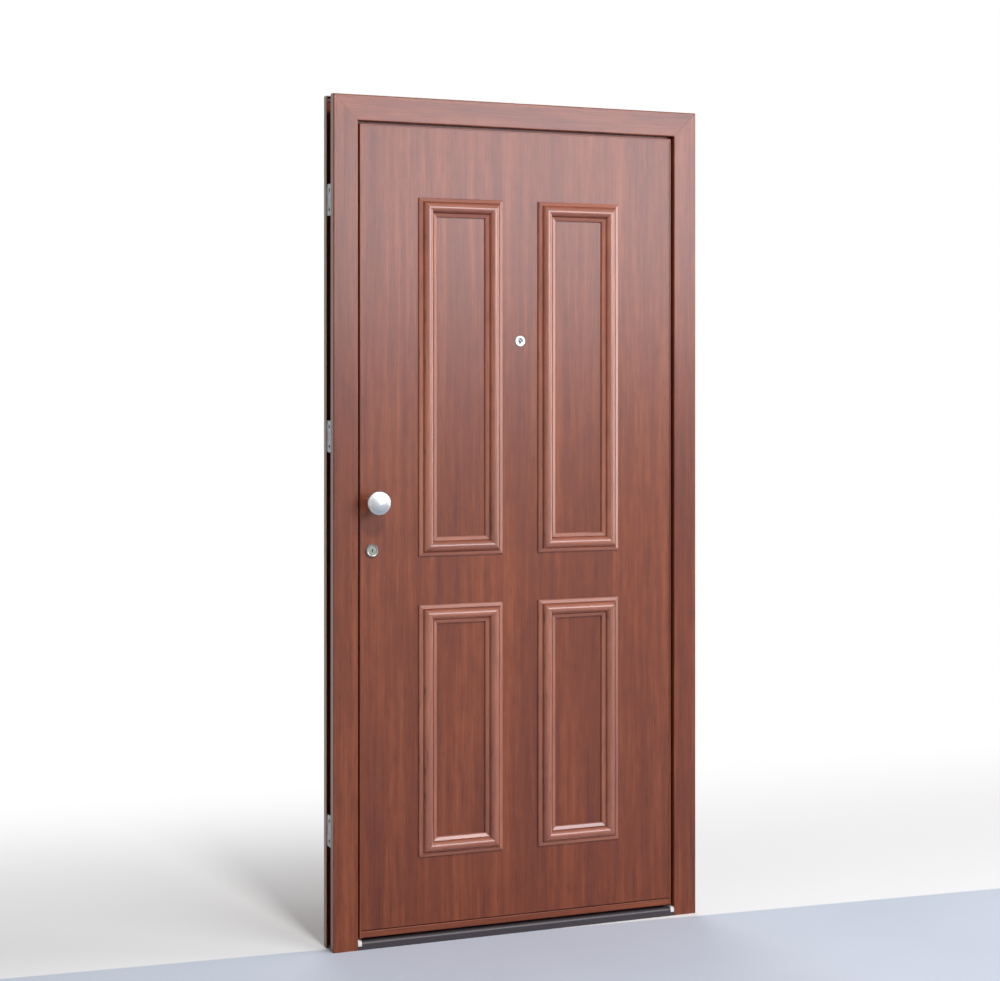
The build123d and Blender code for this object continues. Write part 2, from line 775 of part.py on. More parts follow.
def knob(point, start_y, direction, radius, reach):
    """Mushroom knob: neck from the rosette, flared under the head, domed crown."""
    shorter = knob_reach - reach
    neck_end = knob_neck_end - shorter
    widest = knob_widest - shorter
    crown = reach - knob_crown
    neck_foot = (knob_neck_radius, rosette_thickness)
    neck_top = (knob_neck_radius, neck_end)
    rim_low = (radius, widest)
    rim_high = (radius, crown - knob_edge)
    shoulder = (radius - knob_edge, crown)
    flare = (radius * knob_flare_width, neck_end + (widest - neck_end) * knob_flare_rise)
    turn_in = knob_edge * knob_edge_turn
    turn_over = (radius - turn_in, crown - turn_in)
    return turned(point, start_y, direction, [
        Line((0, rosette_thickness), neck_foot),
        Line(neck_foot, neck_top),
        ThreePointArc(neck_top, flare, rim_low),
        Line(rim_low, rim_high),
        ThreePointArc(rim_high, turn_over, shoulder),
        dome(radius - knob_edge, crown, reach),
        Line((0, reach), (0, rosette_thickness)),
    ])


knob_seat = panel_front - rosette_thickness
stud = bar_y(knob_point, stud_radius, knob_seat, case_y[0] - stud_clearance)
outer_rosette = rosette(
    knob_point, panel_front, outside, knob_collar_radius, rosette_thickness, stud_radius
)
outer_knob = knob(knob_point, panel_front, outside, knob_radius, knob_reach) + stud
outer_panel -= stud
outer_skin -= stud

spindle_way = spindle_side / 2**0.5 + spindle_clearance
inner_seat = leaf_back + rosette_thickness
hub_y = (lock_y - hub_thickness / 2, lock_y + hub_thickness / 2)
spindle_x = (lock_x - spindle_side / 2, lock_x + spindle_side / 2)
spindle_z = (knob_height - spindle_side / 2, knob_height + spindle_side / 2)
knob_spindle = block(spindle_x, (hub_y[0], inner_seat + spindle_socket), spindle_z)
lock_follower = bar_y(knob_point, hub_radius, hub_y[0], hub_y[1]) - knob_spindle
inner_rosette = rosette(knob_point, leaf_back, inside, rosette_radius, rosette_thickness, spindle_way)
inner_knob = knob(knob_point, leaf_back, inside, inner_knob_radius, inner_knob_reach) - knob_spindle
spindle_hole = bar_y(knob_point, spindle_way, lock_y, leaf_back)
lock_case -= spindle_hole
inner_skin -= spindle_hole
inner_panel -= spindle_hole

# Key side: round cylinder in a bevelled ring, with a plug that turns
key_front = panel_front - key_body_proud
key_ring = turned(key_point, panel_front, outside, outline(
    (key_body_radius, 0),
    (key_ring_radius, 0),
    (key_ring_radius, key_ring_height / 3),
    (key_body_radius + key_ring_lip, key_ring_height),
    (key_body_radius, key_ring_height - key_ring_lip_drop),
))
cylinder_body = bar_y(key_point, key_body_radius, key_front, case_y[0])
outer_panel -= cylinder_body
outer_skin -= cylinder_body
cylinder_body -= bar_y(key_point, key_plug_radius + turning_clearance, key_front, case_y[0])
key_plug = bar_y(key_point, key_plug_radius, key_front, case_y[0])
key_plug -= block(
    (lock_x - keyway_width / 2, lock_x + keyway_width / 2),
    (key_front, key_front + keyway_depth),
    (key_height - keyway_height / 2, key_height + keyway_height / 2),
)
tail_end = cam_y[0] - cam_gap
key_plug += block(
    (lock_x - tail_thickness / 2, lock_x + tail_thickness / 2),
    (case_y[0], tail_end),
    (key_height - tail_width / 2, key_height + tail_width / 2),
)
cam_way = bar_y(key_point, key_plug_radius + turning_clearance, case_y[0], case_y[1])
lock_case -= cam_way

# Room side: thumbturn on its own rosette, its shaft carries the cam
turn_seat = leaf_back + turn_rosette_thickness
turn_bore = turn_shaft_radius + turning_clearance
thumbturn_rosette = rosette(
    key_point, leaf_back, inside, turn_rosette_radius, turn_rosette_thickness, turn_bore
)
turn_shaft = bar_y(key_point, turn_shaft_radius, cam_y[0], turn_seat)
lock_cam -= turn_shaft
grip = block(
    (lock_x - turn_width / 2, lock_x + turn_width / 2),
    (turn_seat, turn_seat + turn_height),
    (key_height - turn_length / 2, key_height + turn_length / 2),
)
grip = fillet(grip.edges().filter_by(Axis.Y), (turn_width - turn_end_flat) / 2)
turn_base = bar_y(key_point, turn_base_radius, turn_seat, turn_seat + turn_base_thickness)
thumbturn = turn_shaft + turn_base + grip
shaft_hole = bar_y(key_point, turn_shaft_radius + spindle_clearance, case_y[1], leaf_back)
inner_skin -= shaft_hole
inner_panel -= shaft_hole

# Viewer: front tube with its lens, screwed into a sleeve from the room side
viewer_front_tube = turned(viewer_point, panel_front, outside, outline(
    (viewer_bore_radius, 0),
    (viewer_flange_radius, 0),
    (viewer_flange_radius, viewer_flange_thickness / 3),
    (viewer_flange_radius - viewer_flange_bevel, viewer_flange_thickness),
    (viewer_funnel_radius, viewer_flange_thickness),
    (viewer_bore_radius, viewer_flange_thickness / 2),
))
tube_end = panel_front + viewer_tube_length
viewer_tube = bar_y(viewer_point, viewer_tube_radius, panel_front, tube_end)
viewer_bore = bar_y(viewer_point, viewer_bore_radius, panel_front, tube_end)
viewer_front_tube += viewer_tube - viewer_bore
lens_rim = viewer_flange_thickness / 3
lens_top = lens_rim + lens_rise
viewer_lens = turned(viewer_point, panel_front, outside, [
    Line((0, -lens_thickness), (viewer_bore_radius, -lens_thickness)),
    Line((viewer_bore_radius, -lens_thickness), (viewer_bore_radius, lens_rim)),
    dome(viewer_bore_radius, lens_rim, lens_top),
    Line((0, lens_top), (0, -lens_thickness)),
])
sleeve_end = leaf_back - sleeve_length
sleeve_flange_face = leaf_back + viewer_flange_thickness
viewer_back_sleeve = bar_y(viewer_point, sleeve_radius, sleeve_end, leaf_back)
viewer_way = bar_y(viewer_point, sleeve_radius, box_front + skin_sheet, leaf_back)
outer_panel -= viewer_tube
outer_skin -= viewer_tube
stiffener_centre -= viewer_way
inner_skin -= viewer_way
inner_panel -= viewer_way
viewer_back_sleeve += rosette(
    viewer_point, leaf_back, inside, viewer_flange_radius, viewer_flange_thickness, viewer_tube_radius
)
viewer_back_sleeve -= bar_y(viewer_point, viewer_tube_radius, sleeve_end, sleeve_flange_face)
pivot_point = (0, viewer_height + cover_pivot_rise)
cover_back = sleeve_flange_face + cover_gap
cover_front = cover_back + cover_thickness
viewer_back_sleeve += bar_y(pivot_point, cover_pivot_radius, sleeve_flange_face, cover_front + cover_gap)
viewer_cover = bar_y(viewer_point, cover_radius, cover_back, cover_front)
viewer_cover += bar_y(pivot_point, cover_lug_radius, cover_back, cover_front)
viewer_cover -= bar_y(pivot_point, cover_pivot_radius + turning_clearance, cover_back, cover_front)


# Hinges: knuckles round a fixed pin, plates on the frame's flange and on the leaf
def hinge_frame_half(height):
    """Lower knuckle with its plate on the back flange of the jamb."""
    z = (height - hinge_half_height, height)
    part = bar_z(hinge_x, hinge_y, knuckle_radius, z[0], z[1])
    part += block((hinge_x, frame_half - hinge_gap), (back_y, back_y + hinge_plate), z)
    return part - bar_z(hinge_x, hinge_y, hinge_pin_radius, z[0], z[1])


def hinge_leaf_half(height):
    """Upper knuckle with its plate seated on the inner panel beside the edge trim."""
    z = (height + hinge_gap, height + hinge_half_height)
    plate_low = back_y + hinge_gap
    x0 = hinge_x - hinge_leaf_reach
    part = bar_z(hinge_x, hinge_y, knuckle_radius, z[0], z[1])
    part += block((x0, hinge_x), (plate_low, plate_low + hinge_plate), z)
    part += block((x0, leaf_half - trim_back_cover - hinge_gap), (leaf_back, plate_low), z)
    bore_radius = hinge_pin_radius + hinge_clearance
    return part - bar_z(hinge_x, hinge_y, bore_radius, z[0], z[1] - hinge_cap)


def hinge_pin(height):
    """Pin pressed into the lower knuckle."""
    top = height + hinge_half_height - hinge_cap - hinge_gap
    return bar_z(hinge_x, hinge_y, hinge_pin_radius, height - hinge_half_height, top)


lower_hinge_frame_half, upper_hinge_frame_half = [hinge_frame_half(z) for z in hinge_heights]
lower_hinge_leaf_half, upper_hinge_leaf_half = [hinge_leaf_half(z) for z in hinge_heights]
lower_hinge_pin, upper_hinge_pin = [hinge_pin(z) for z in hinge_heights]


def dog_bolt(height):
    """Fixed bolt in the hinge edge of the leaf."""
    bolt = bar_x(lock_y, height, dog_radius, leaf_half - dog_inside, leaf_half + dog_proud)
    return chamfer(bolt.faces().sort_by(Axis.X)[-1].edges(), dog_radius / 4)


dog_bolts = Compound([dog_bolt(height) for height in dog_heights])
for height in dog_heights:
    dog_hole = bar_x(lock_y, height, dog_radius, leaf_half - 2 * faceplate_thickness, leaf_half + 1)
    hinge_edge_trim -= dog_hole
    outer_skin -= dog_hole

nodes = {
    "lock_jamb": lock_jamb,
    "hinge_jamb": hinge_jamb,
    "frame_head": frame_head,
    "threshold": threshold,
    "threshold_caps": threshold_caps,
    "seal_lock_side": seal_lock_side,
    "seal_hinge_side": seal_hinge_side,
    "seal_head": seal_head,
    "strike_plate": strike_plate,
    "head_rod_keep": head_rod_keep,
    "floor_rod_keep": floor_rod_keep,
    "wall_anchors": wall_anchors,
    "upper_hinge_frame_half": upper_hinge_frame_half,
    "lower_hinge_frame_half": lower_hinge_frame_half,
    "upper_hinge_pin": upper_hinge_pin,
    "lower_hinge_pin": lower_hinge_pin,
    "outer_skin": outer_skin,
    "inner_skin": inner_skin,
    "stiffener_lock_side": stiffener_lock_side,
    "stiffener_centre": stiffener_centre,
    "stiffener_hinge_side": stiffener_hinge_side,
    "insulation": insulation,
    "lock_edge_trim": lock_edge_trim,
    "hinge_edge_trim": hinge_edge_trim,
    "top_edge_trim": top_edge_trim,
    "bottom_edge_trim": bottom_edge_trim,
    "outer_panel": outer_panel,
    "upper_left_moulding": upper_left_moulding,
    "upper_right_moulding": upper_right_moulding,
    "lower_left_moulding": lower_left_moulding,
    "lower_right_moulding": lower_right_moulding,
    "inner_panel": inner_panel,
    "viewer_front_tube": viewer_front_tube,
    "viewer_lens": viewer_lens,
    "viewer_back_sleeve": viewer_back_sleeve,
    "viewer_cover": viewer_cover,
    "outer_rosette": outer_rosette,
    "outer_knob": outer_knob,
    "inner_rosette": inner_rosette,
    "inner_knob": inner_knob,
    "knob_spindle": knob_spindle,
    "lock_follower": lock_follower,
    "key_ring": key_ring,
    "cylinder_body": cylinder_body,
    "key_plug": key_plug,
    "thumbturn_rosette": thumbturn_rosette,
    "thumbturn": thumbturn,
    "lock_cam": lock_cam,
    "lock_case": lock_case,
    "lock_faceplate": lock_faceplate,
    "latch_bolt": latch_bolt,
    "deadbolts": deadbolts,
    "bolt_carriage": bolt_carriage,
    "upper_rod": upper_rod,
    "lower_rod": lower_rod,
    "dog_bolts": dog_bolts,
    "drop_seal_case": drop_seal_case,
    "drop_seal": drop_seal,
    "upper_hinge_leaf_half": upper_hinge_leaf_half,
    "lower_hinge_leaf_half": lower_hinge_leaf_half,
}

os.makedirs("parts", exist_ok=True)
for name, part in nodes.items():
    export_step(part, f"parts/{name}.step")
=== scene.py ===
"""Panelled front door in its steel frame: finishes, small hardware and a plain studio.

Metres, in the door's own frame: X to the right seen from outside, Y into the room, Z up, with
the origin on the floor in the middle of the doorway.
"""

import logging
import math
from dataclasses import dataclass, field
from enum import Enum
from typing import Any, ClassVar, Iterable, Optional, Union

import bmesh
import bpy
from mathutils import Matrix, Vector


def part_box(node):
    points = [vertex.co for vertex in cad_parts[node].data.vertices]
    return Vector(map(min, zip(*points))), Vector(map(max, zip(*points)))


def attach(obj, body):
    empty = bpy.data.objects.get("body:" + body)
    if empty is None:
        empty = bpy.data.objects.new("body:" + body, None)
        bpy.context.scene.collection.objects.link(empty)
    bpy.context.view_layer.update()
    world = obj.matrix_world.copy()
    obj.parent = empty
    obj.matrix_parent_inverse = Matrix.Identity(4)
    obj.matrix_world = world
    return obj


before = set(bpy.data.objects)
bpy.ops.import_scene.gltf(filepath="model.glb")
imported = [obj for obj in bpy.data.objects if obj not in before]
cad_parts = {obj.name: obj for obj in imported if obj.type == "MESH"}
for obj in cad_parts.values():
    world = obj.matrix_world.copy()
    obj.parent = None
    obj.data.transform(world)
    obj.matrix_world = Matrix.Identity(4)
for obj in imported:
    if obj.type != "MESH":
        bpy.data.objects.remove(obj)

log = logging.getLogger("front_door")

MM = 0.001

Number = Union[int, float]
Colour = tuple[float, float, float, float]
Place = tuple[float, float, float]


def srgb(red: int, green: int, blue: int) -> Colour:
    """Linear colour of a screen colour.

    Args:
        red: Red, 0 to 255.
        green: Green, 0 to 255.
        blue: Blue, 0 to 255.

    Returns:
        The linear colour with full opacity.
    """
    def linear(level: int) -> float:
        """Linear value of one channel."""
        share = level / 255
        return share / 12.92 if share <= 0.04045 else ((share + 0.055) / 1.055) ** 2.4

    return (linear(red), linear(green), linear(blue), 1.0)


# Node trees


class Signal:
    """A value in a node tree that takes part in arithmetic; each operation adds a Math node."""

    def __init__(self, owner: "NodeTree", socket: bpy.types.NodeSocket) -> None:
        """Wraps one output socket of a tree."""
        self.owner = owner
        self.socket = socket

    def _math(self, operation: str, *values: Union["Signal", Number]) -> "Signal":
        """A Math node on the given values.

        Args:
            operation: Blender's name of the operation.
            values: Its inputs, in order.

        Returns:
            The node's result.
        """
        inputs = dict(enumerate(values))
        return self.owner.value("ShaderNodeMath", {"operation": operation}, inputs)

    def __add__(self, other: Union["Signal", Number]) -> "Signal":
        """Sum."""
        return self._math("ADD", self, other)

    def __radd__(self, other: Number) -> "Signal":
        """Sum with a number first."""
        return self._math("ADD", other, self)

    def __sub__(self, other: Union["Signal", Number]) -> "Signal":
        """Difference."""
        return self._math("SUBTRACT", self, other)

    def __rsub__(self, other: Number) -> "Signal":
        """Difference with a number first."""
        return self._math("SUBTRACT", other, self)

    def __mul__(self, other: Union["Signal", Number]) -> "Signal":
        """Product."""
        return self._math("MULTIPLY", self, other)

    def __rmul__(self, other: Number) -> "Signal":
        """Product with a number first."""
        return self._math("MULTIPLY", other, self)

    def __truediv__(self, other: Union["Signal", Number]) -> "Signal":
        """Quotient."""
        return self._math("DIVIDE", self, other)

    def __rtruediv__(self, other: Number) -> "Signal":
        """Quotient with a number first."""
        return self._math("DIVIDE", other, self)

    def __gt__(self, other: Union["Signal", Number]) -> "Signal":
        """1 where this is more, otherwise 0."""
        return self._math("GREATER_THAN", self, other)

    def __lt__(self, other: Union["Signal", Number]) -> "Signal":
        """1 where this is less, otherwise 0; the reflected form of the one above."""
        return self._math("LESS_THAN", self, other)

    def __abs__(self) -> "Signal":
        """Value without its sign."""
        return self._math("ABSOLUTE", self)

    def least(self, other: Union["Signal", Number]) -> "Signal":
        """The smaller of two values."""
        return self._math("MINIMUM", self, other)

    def most(self, other: Union["Signal", Number]) -> "Signal":
        """The larger of two values."""
        return self._math("MAXIMUM", self, other)

    def root(self) -> "Signal":
        """Square root."""
        return self._math("SQRT", self)

    def between(self, low: Number, high: Number) -> "Signal":
        """Smooth rise from 0 at low to 1 at high.

        Args:
            low: Value that gives 0.
            high: Value that gives 1; below low, the rise becomes a fall.

        Returns:
            The smooth step.
        """
        start, end, first, last = (low, high, 0.0, 1.0) if low < high else (high, low, 1.0, 0.0)
        span = {"From Min": start, "From Max": end, "To Min": first, "To Max": last}
        smooth = {"interpolation_type": "SMOOTHSTEP"}
        return self.owner.value("ShaderNodeMapRange", smooth, {"Value": self} | span)


class NodeTree:
    """A node tree and the one method that adds nodes to it."""

    def __init__(self, tree: bpy.types.NodeTree) -> None:
        """Wraps an empty tree."""
        self.tree = tree

    def node(self, kind: str, settings: dict[str, Any], inputs: dict[Any, Any]) -> bpy.types.Node:
        """Adds a node.

        Args:
            kind: The node's type.
            settings: Its own settings, set first; stops are those of its colour ramp.
            inputs: A value, a Signal or a socket for each input, by name or number.

        Returns:
            The node.
        """
        made = self.tree.nodes.new(kind)
        for name, setting in settings.items():
            if name == "stops":
                self._set_stops(made.color_ramp, setting)
            else:
                setattr(made, name, setting)
        for name, given in inputs.items():
            if isinstance(given, Signal):
                given = given.socket
            if isinstance(given, bpy.types.NodeSocket):
                self.tree.links.new(given, made.inputs[name])
            else:
                made.inputs[name].default_value = given
        return made

    @staticmethod
    def _set_stops(ramp: bpy.types.ColorRamp, stops: list[tuple[float, Colour]]) -> None:
        """Puts the stops on a colour ramp.

        Args:
            ramp: The ramp.
            stops: Position and colour of each stop, from left to right.
        """
        while len(ramp.elements) < len(stops):
            ramp.elements.new(1.0)
        for element, (position, colour) in zip(ramp.elements, stops):
            element.position = position
            element.color = colour

    def value(self, kind: str, settings: dict[str, Any], inputs: dict[Any, Any]) -> Signal:
        """A node's first output, as a value."""
        return Signal(self, self.node(kind, settings, inputs).outputs[0])

    def point(self, x: Any, y: Any, z: Any) -> bpy.types.NodeSocket:
        """A vector from three values."""
        return self.node("ShaderNodeCombineXYZ", {}, {"X": x, "Y": y, "Z": z}).outputs[0]

    def looked_at(self) -> Signal:
        """Tells what is seen from light that only falls on things.

        Returns:
            1 for what the camera, a reflection or glass shows, otherwise 0.
        """
        path = self.node("ShaderNodeLightPath", {}, {})
        seen = Signal(self, path.outputs["Is Camera Ray"])
        mirrored = Signal(self, path.outputs["Is Glossy Ray"])
        through = Signal(self, path.outputs["Is Transmission Ray"])
        return seen.most(mirrored.most(through))


class Shader(NodeTree):
    """One procedural material and the nodes that it is made of."""

    def __init__(self, name: str) -> None:
        """Starts an empty material.

        Args:
            name: The material's name.
        """
        self.material = bpy.data.materials.new(name)
        self.material.use_nodes = True
        super().__init__(self.material.node_tree)
        self.tree.nodes.clear()
        place = self.node("ShaderNodeTexCoord", {}, {}).outputs["Object"]
        parts = self.node("ShaderNodeSeparateXYZ", {}, {"Vector": place})
        self.x, self.y, self.z = (Signal(self, parts.outputs[axis]) for axis in "XYZ")

    def noise(
        self, place: bpy.types.NodeSocket, detail: float = 2.0, roughness: float = 0.5
    ) -> Signal:
        """Noise of one cell per unit of the given place.

        Args:
            place: Where it is read.
            detail: Octaves above the first.
            roughness: Strength of the finer octaves.

        Returns:
            The noise, about 0.5.
        """
        inputs = {"Vector": place, "Scale": 1.0, "Detail": detail, "Roughness": roughness}
        return self.value("ShaderNodeTexNoise", {}, inputs)

    def cells(self, x: float, y: float, z: float) -> bpy.types.NodeSocket:
        """The place on the part, in cells, from the cells per metre along each axis."""
        return self.point(self.x * x, self.y * y, self.z * z)

    def radius(self, centre: tuple[float, float]) -> Signal:
        """Distance from an axis along Y.

        Args:
            centre: Where the axis passes, as X and Z.

        Returns:
            The distance in metres.
        """
        over_x = self.x - centre[0]
        over_z = self.z - centre[1]
        return (over_x * over_x + over_z * over_z).root()

    def blend(self, share: Any, first: Any, second: Any) -> bpy.types.NodeSocket:
        """Mix of two colours.

        Args:
            share: Share of the second colour.
            first: Colour or socket at 0.
            second: Colour or socket at 1.

        Returns:
            The mixed colour.
        """
        mix = self.node("ShaderNodeMix", {"data_type": "RGBA"}, {0: share, 6: first, 7: second})
        return mix.outputs[2]

    def ramp(self, share: Signal, stops: list[tuple[float, Colour]]) -> bpy.types.NodeSocket:
        """Colour read from a ramp."""
        return self.node("ShaderNodeValToRGB", {"stops": stops}, {"Fac": share}).outputs["Color"]

    def bump(self, height: Signal, distance: float, strength: float = 1.0) -> bpy.types.NodeSocket:
        """Normal bent by a height.

        Args:
            height: The height, about 0 to 1.
            distance: Metres that a height of 1 stands for.
            strength: Share of the effect.

        Returns:
            The bent normal.
        """
        inputs = {"Height": height, "Distance": distance, "Strength": strength}
        return self.node("ShaderNodeBump", {}, inputs).outputs["Normal"]

    def finish(self, inputs: dict[str, Any]) -> bpy.types.Material:
        """Closes the material with its surface.

        Args:
            inputs: Inputs of the surface, by name.

        Returns:
            The finished material.
        """
        surface = self.node("ShaderNodeBsdfPrincipled", {}, inputs)
        self.node("ShaderNodeOutputMaterial", {}, {"Surface": surface.outputs[0]})
        return self.material


# Finishes


class Grain(Enum):
    """Way in which the grain of the wood film runs."""

    UPRIGHT = "upright"
    ACROSS = "across"
    MITRED = "mitred"


@dataclass(frozen=True)
class Corners:
    """Rectangle whose corners are mitred, in metres on the door's face."""

    left: float
    right: float
    low: float
    high: float


@dataclass(frozen=True)
class Tones:
    """Colours of a film, from its darkest streaks to its lightest."""

    pore: Colour
    dark: Colour
    middle: Colour
    light: Colour


WALNUT = Tones(srgb(52, 23, 17), srgb(86, 39, 29), srgb(112, 53, 31), srgb(137, 73, 43))
WALNUT_EDGE = Tones(srgb(66, 31, 22), srgb(111, 58, 42), srgb(139, 77, 55), srgb(163, 99, 74))
BELOW_FLOOR = -1.0
HINGE_BROWN = srgb(62, 50, 46)
HINGE_WORN = srgb(96, 82, 76)


@dataclass(frozen=True)
class Streaks:
    """One layer of noise that is drawn out along the grain, in cells per metre."""

    across: float
    along: float
    weight: float = 1.0
    offset: float = 0.0
    detail: float = 2.0
    roughness: float = 0.5

    def read(self, shader: Shader, across: Signal, along: Signal, shift: float) -> Signal:
        """The layer's value.

        Args:
            shader: The material that is being made.
            across: Place across the grain.
            along: Place along the grain.
            shift: Slice of the noise that the film is cut from.

        Returns:
            The noise, about 0.5.
        """
        place = shader.point(across * self.across, along * self.along, shift + self.offset)
        return shader.noise(place, self.detail, self.roughness)


@dataclass(frozen=True)
class WoodFilm:
    """Walnut-look film, pressed with a fine grain and satin sealed."""

    name: str
    grain: Grain = Grain.UPRIGHT
    corners: Optional[Corners] = None
    shift: float = 0.0
    tones: Tones = WALNUT
    roughness: float = 0.3
    coat: float = 0.2
    joint_width: float = 0.5 * MM
    joint_depth: float = 2.5
    depth_share: float = 0.7
    sway: Streaks = Streaks(5.0, 1.3, weight=0.012, detail=1.0)
    broad: Streaks = Streaks(13.0, 0.6, weight=0.34)
    bands: Streaks = Streaks(62.0, 1.8, weight=0.36, offset=3.0, detail=3.0, roughness=0.6)
    figure: Streaks = Streaks(46.0, 12.0, weight=0.18, offset=7.0, detail=3.0, roughness=0.6)
    fine: Streaks = Streaks(380.0, 7.0, weight=0.24, roughness=0.6)
    dashes: Streaks = Streaks(820.0, 24.0, weight=0.55, offset=9.0, detail=1.0)
    tone_base: float = -0.06
    tone_stops: tuple[float, float, float] = (0.34, 0.5, 0.66)
    dash_range: tuple[float, float] = (0.58, 0.7)
    dash_gap: tuple[float, float] = (0.6, 0.4)
    joint_tint: float = 0.8
    grain_depth: float = 0.12 * MM
    grain_strength: float = 0.35
    film_ior: float = 1.38
    coat_roughness: float = 0.25

    def directions(self, shader: Shader) -> tuple[Signal, Signal, Optional[Signal]]:
        """Places across and along the grain.

        Args:
            shader: The material that is being made.

        Returns:
            Place across the grain, place along it and, where corners are mitred, the open joint.
        """
        depth = shader.y * self.depth_share + self.shift
        flat, upright = shader.x, shader.z
        joint = None
        if self.corners is not None:
            from_side = (flat - self.corners.left).least(self.corners.right - flat)
            from_end = (upright - self.corners.low).least(self.corners.high - upright)
            off_mitre = from_side - from_end
            joint = abs(off_mitre).between(self.joint_width, self.joint_width / 2)
        if self.grain is Grain.UPRIGHT:
            return flat + depth, upright, joint
        if self.grain is Grain.ACROSS:
            return upright + depth, flat, joint
        rail = off_mitre > 0.0
        turned = (upright - flat) * rail
        return flat + turned + depth, upright - turned, joint

    def material(self) -> bpy.types.Material:
        """The film's material.

        Returns:
            The material.
        """
        shader = Shader(self.name)
        across, along, joint = self.directions(shader)
        sway = self.sway.read(shader, across, along, self.shift) - 0.5
        across = across + sway * self.sway.weight
        layers = (self.broad, self.bands, self.figure, self.fine, self.dashes)
        broad, bands, figure, fine, dashes = (
            layer.read(shader, across, along, self.shift) for layer in layers
        )
        tone = broad * self.broad.weight + bands * self.bands.weight
        tone = tone + figure * self.figure.weight + fine * self.fine.weight + self.tone_base
        colours = (self.tones.dark, self.tones.middle, self.tones.light)
        pores = dashes.between(*self.dash_range) * fine.between(*self.dash_gap)
        shades = shader.ramp(tone, list(zip(self.tone_stops, colours)))
        colour = shader.blend(pores * self.dashes.weight, shades, self.tones.pore)
        relief = fine * 0.3 - pores * 0.6
        if joint is not None:
            colour = shader.blend(joint * self.joint_tint, colour, self.tones.pore)
            relief = relief - joint * self.joint_depth
        return shader.finish({
            "Base Color": colour,
            "Roughness": self.roughness + fine * 0.08 - bands * 0.05,
            "IOR": self.film_ior,
            "Coat Weight": self.coat,
            "Coat Roughness": self.coat_roughness,
            "Normal": shader.bump(relief, self.grain_depth, self.grain_strength),
        })


@dataclass(frozen=True)
class SatinNickel:
    """Plated fittings, turned or brushed round their own axis along Y."""

    name: str
    centre: tuple[float, float]
    colour: Colour = srgb(186, 188, 189)
    roughness: float = 0.27
    tarnished: Colour = srgb(176, 172, 165)
    turning: float = 3200.0
    brushing: float = 900.0
    clouds: float = 90.0
    mark_depth: float = 0.02 * MM

    def material(self) -> bpy.types.Material:
        """The plating's material.

        Returns:
            The material.
        """
        shader = Shader(self.name)
        radius = shader.radius(self.centre)
        marks = shader.point(radius * self.turning, shader.y * self.brushing, 0.0)
        rings = shader.noise(marks, 2.0, 0.6)
        cloud = shader.noise(shader.cells(self.clouds, self.clouds, self.clouds), 2.0)
        tarnish = cloud.between(0.5, 0.85)
        return shader.finish({
            "Base Color": shader.blend(tarnish * 0.25, self.colour, self.tarnished),
            "Metallic": 1.0,
            "Roughness": self.roughness + rings * 0.1 + tarnish * 0.06,
            "Normal": shader.bump(rings, self.mark_depth, 0.25),
        })


@dataclass(frozen=True)
class GroundSteel:
    """Steel ground along one axis, with faint scratches."""

    name: str
    along: str = "z"
    colour: Colour = srgb(188, 190, 191)
    dull: Colour = srgb(150, 150, 148)
    roughness: float = 0.26
    line_length: float = 60.0
    line_width: float = 2600.0
    line_depth: float = 0.02 * MM

    def material(self) -> bpy.types.Material:
        """The steel's material.

        Returns:
            The material.
        """
        shader = Shader(self.name)
        scales = (self.line_length if axis == self.along else self.line_width for axis in "xyz")
        lines = shader.noise(shader.cells(*scales), 3.0, 0.65)
        smear = shader.noise(shader.cells(70.0, 70.0, 35.0), 2.0)
        return shader.finish({
            "Base Color": shader.blend(smear.between(0.4, 0.8) * 0.35, self.colour, self.dull),
            "Metallic": 1.0,
            "Roughness": self.roughness + lines * 0.16 + smear * 0.08,
            "Normal": shader.bump(lines, self.line_depth, 0.3),
        })


@dataclass(frozen=True)
class ZincSheet:
    """Galvanised sheet with its spangle."""

    name: str
    colour: Colour = srgb(168, 172, 174)
    flake_edge: Colour = srgb(128, 133, 137)
    flakes: float = 85.0
    metal: float = 0.85
    roughness: float = 0.42
    flake_depth: float = 0.03 * MM

    def material(self) -> bpy.types.Material:
        """The sheet's material.

        Returns:
            The material.
        """
        shader = Shader(self.name)
        place = shader.cells(self.flakes, self.flakes, self.flakes)
        spangle = shader.node("ShaderNodeTexVoronoi", {}, {"Vector": place, "Scale": 1.0})
        flake = Signal(shader, spangle.outputs["Distance"])
        dust = shader.noise(shader.cells(14.0, 14.0, 6.0), 3.0)
        share = flake.between(0.1, 0.8) * 0.5
        return shader.finish({
            "Base Color": shader.blend(share, self.colour, self.flake_edge),
            "Metallic": self.metal,
            "Roughness": self.roughness + flake * 0.12 + dust * 0.1,
            "Normal": shader.bump(flake, self.flake_depth, 0.3),
        })


@dataclass(frozen=True)
class PowderCoat:
    """Textured powder coating, rubbed a little smoother where it is touched."""

    name: str
    colour: Colour = srgb(52, 46, 50)
    worn: Colour = srgb(86, 80, 84)
    roughness: float = 0.38
    grains: float = 1500.0
    grain_height: float = 0.05 * MM

    def material(self) -> bpy.types.Material:
        """The coating's material.

        Returns:
            The material.
        """
        shader = Shader(self.name)
        grit = shader.noise(shader.cells(self.grains, self.grains, self.grains), 2.0, 0.6)
        scuff = shader.noise(shader.cells(24.0, 160.0, 160.0), 3.0)
        rubbed = scuff.between(0.56, 0.8)
        return shader.finish({
            "Base Color": shader.blend(rubbed * 0.4, self.colour, self.worn),
            "Roughness": self.roughness + grit * 0.12 - rubbed * 0.08,
            "Normal": shader.bump(grit, self.grain_height, 0.4),
        })


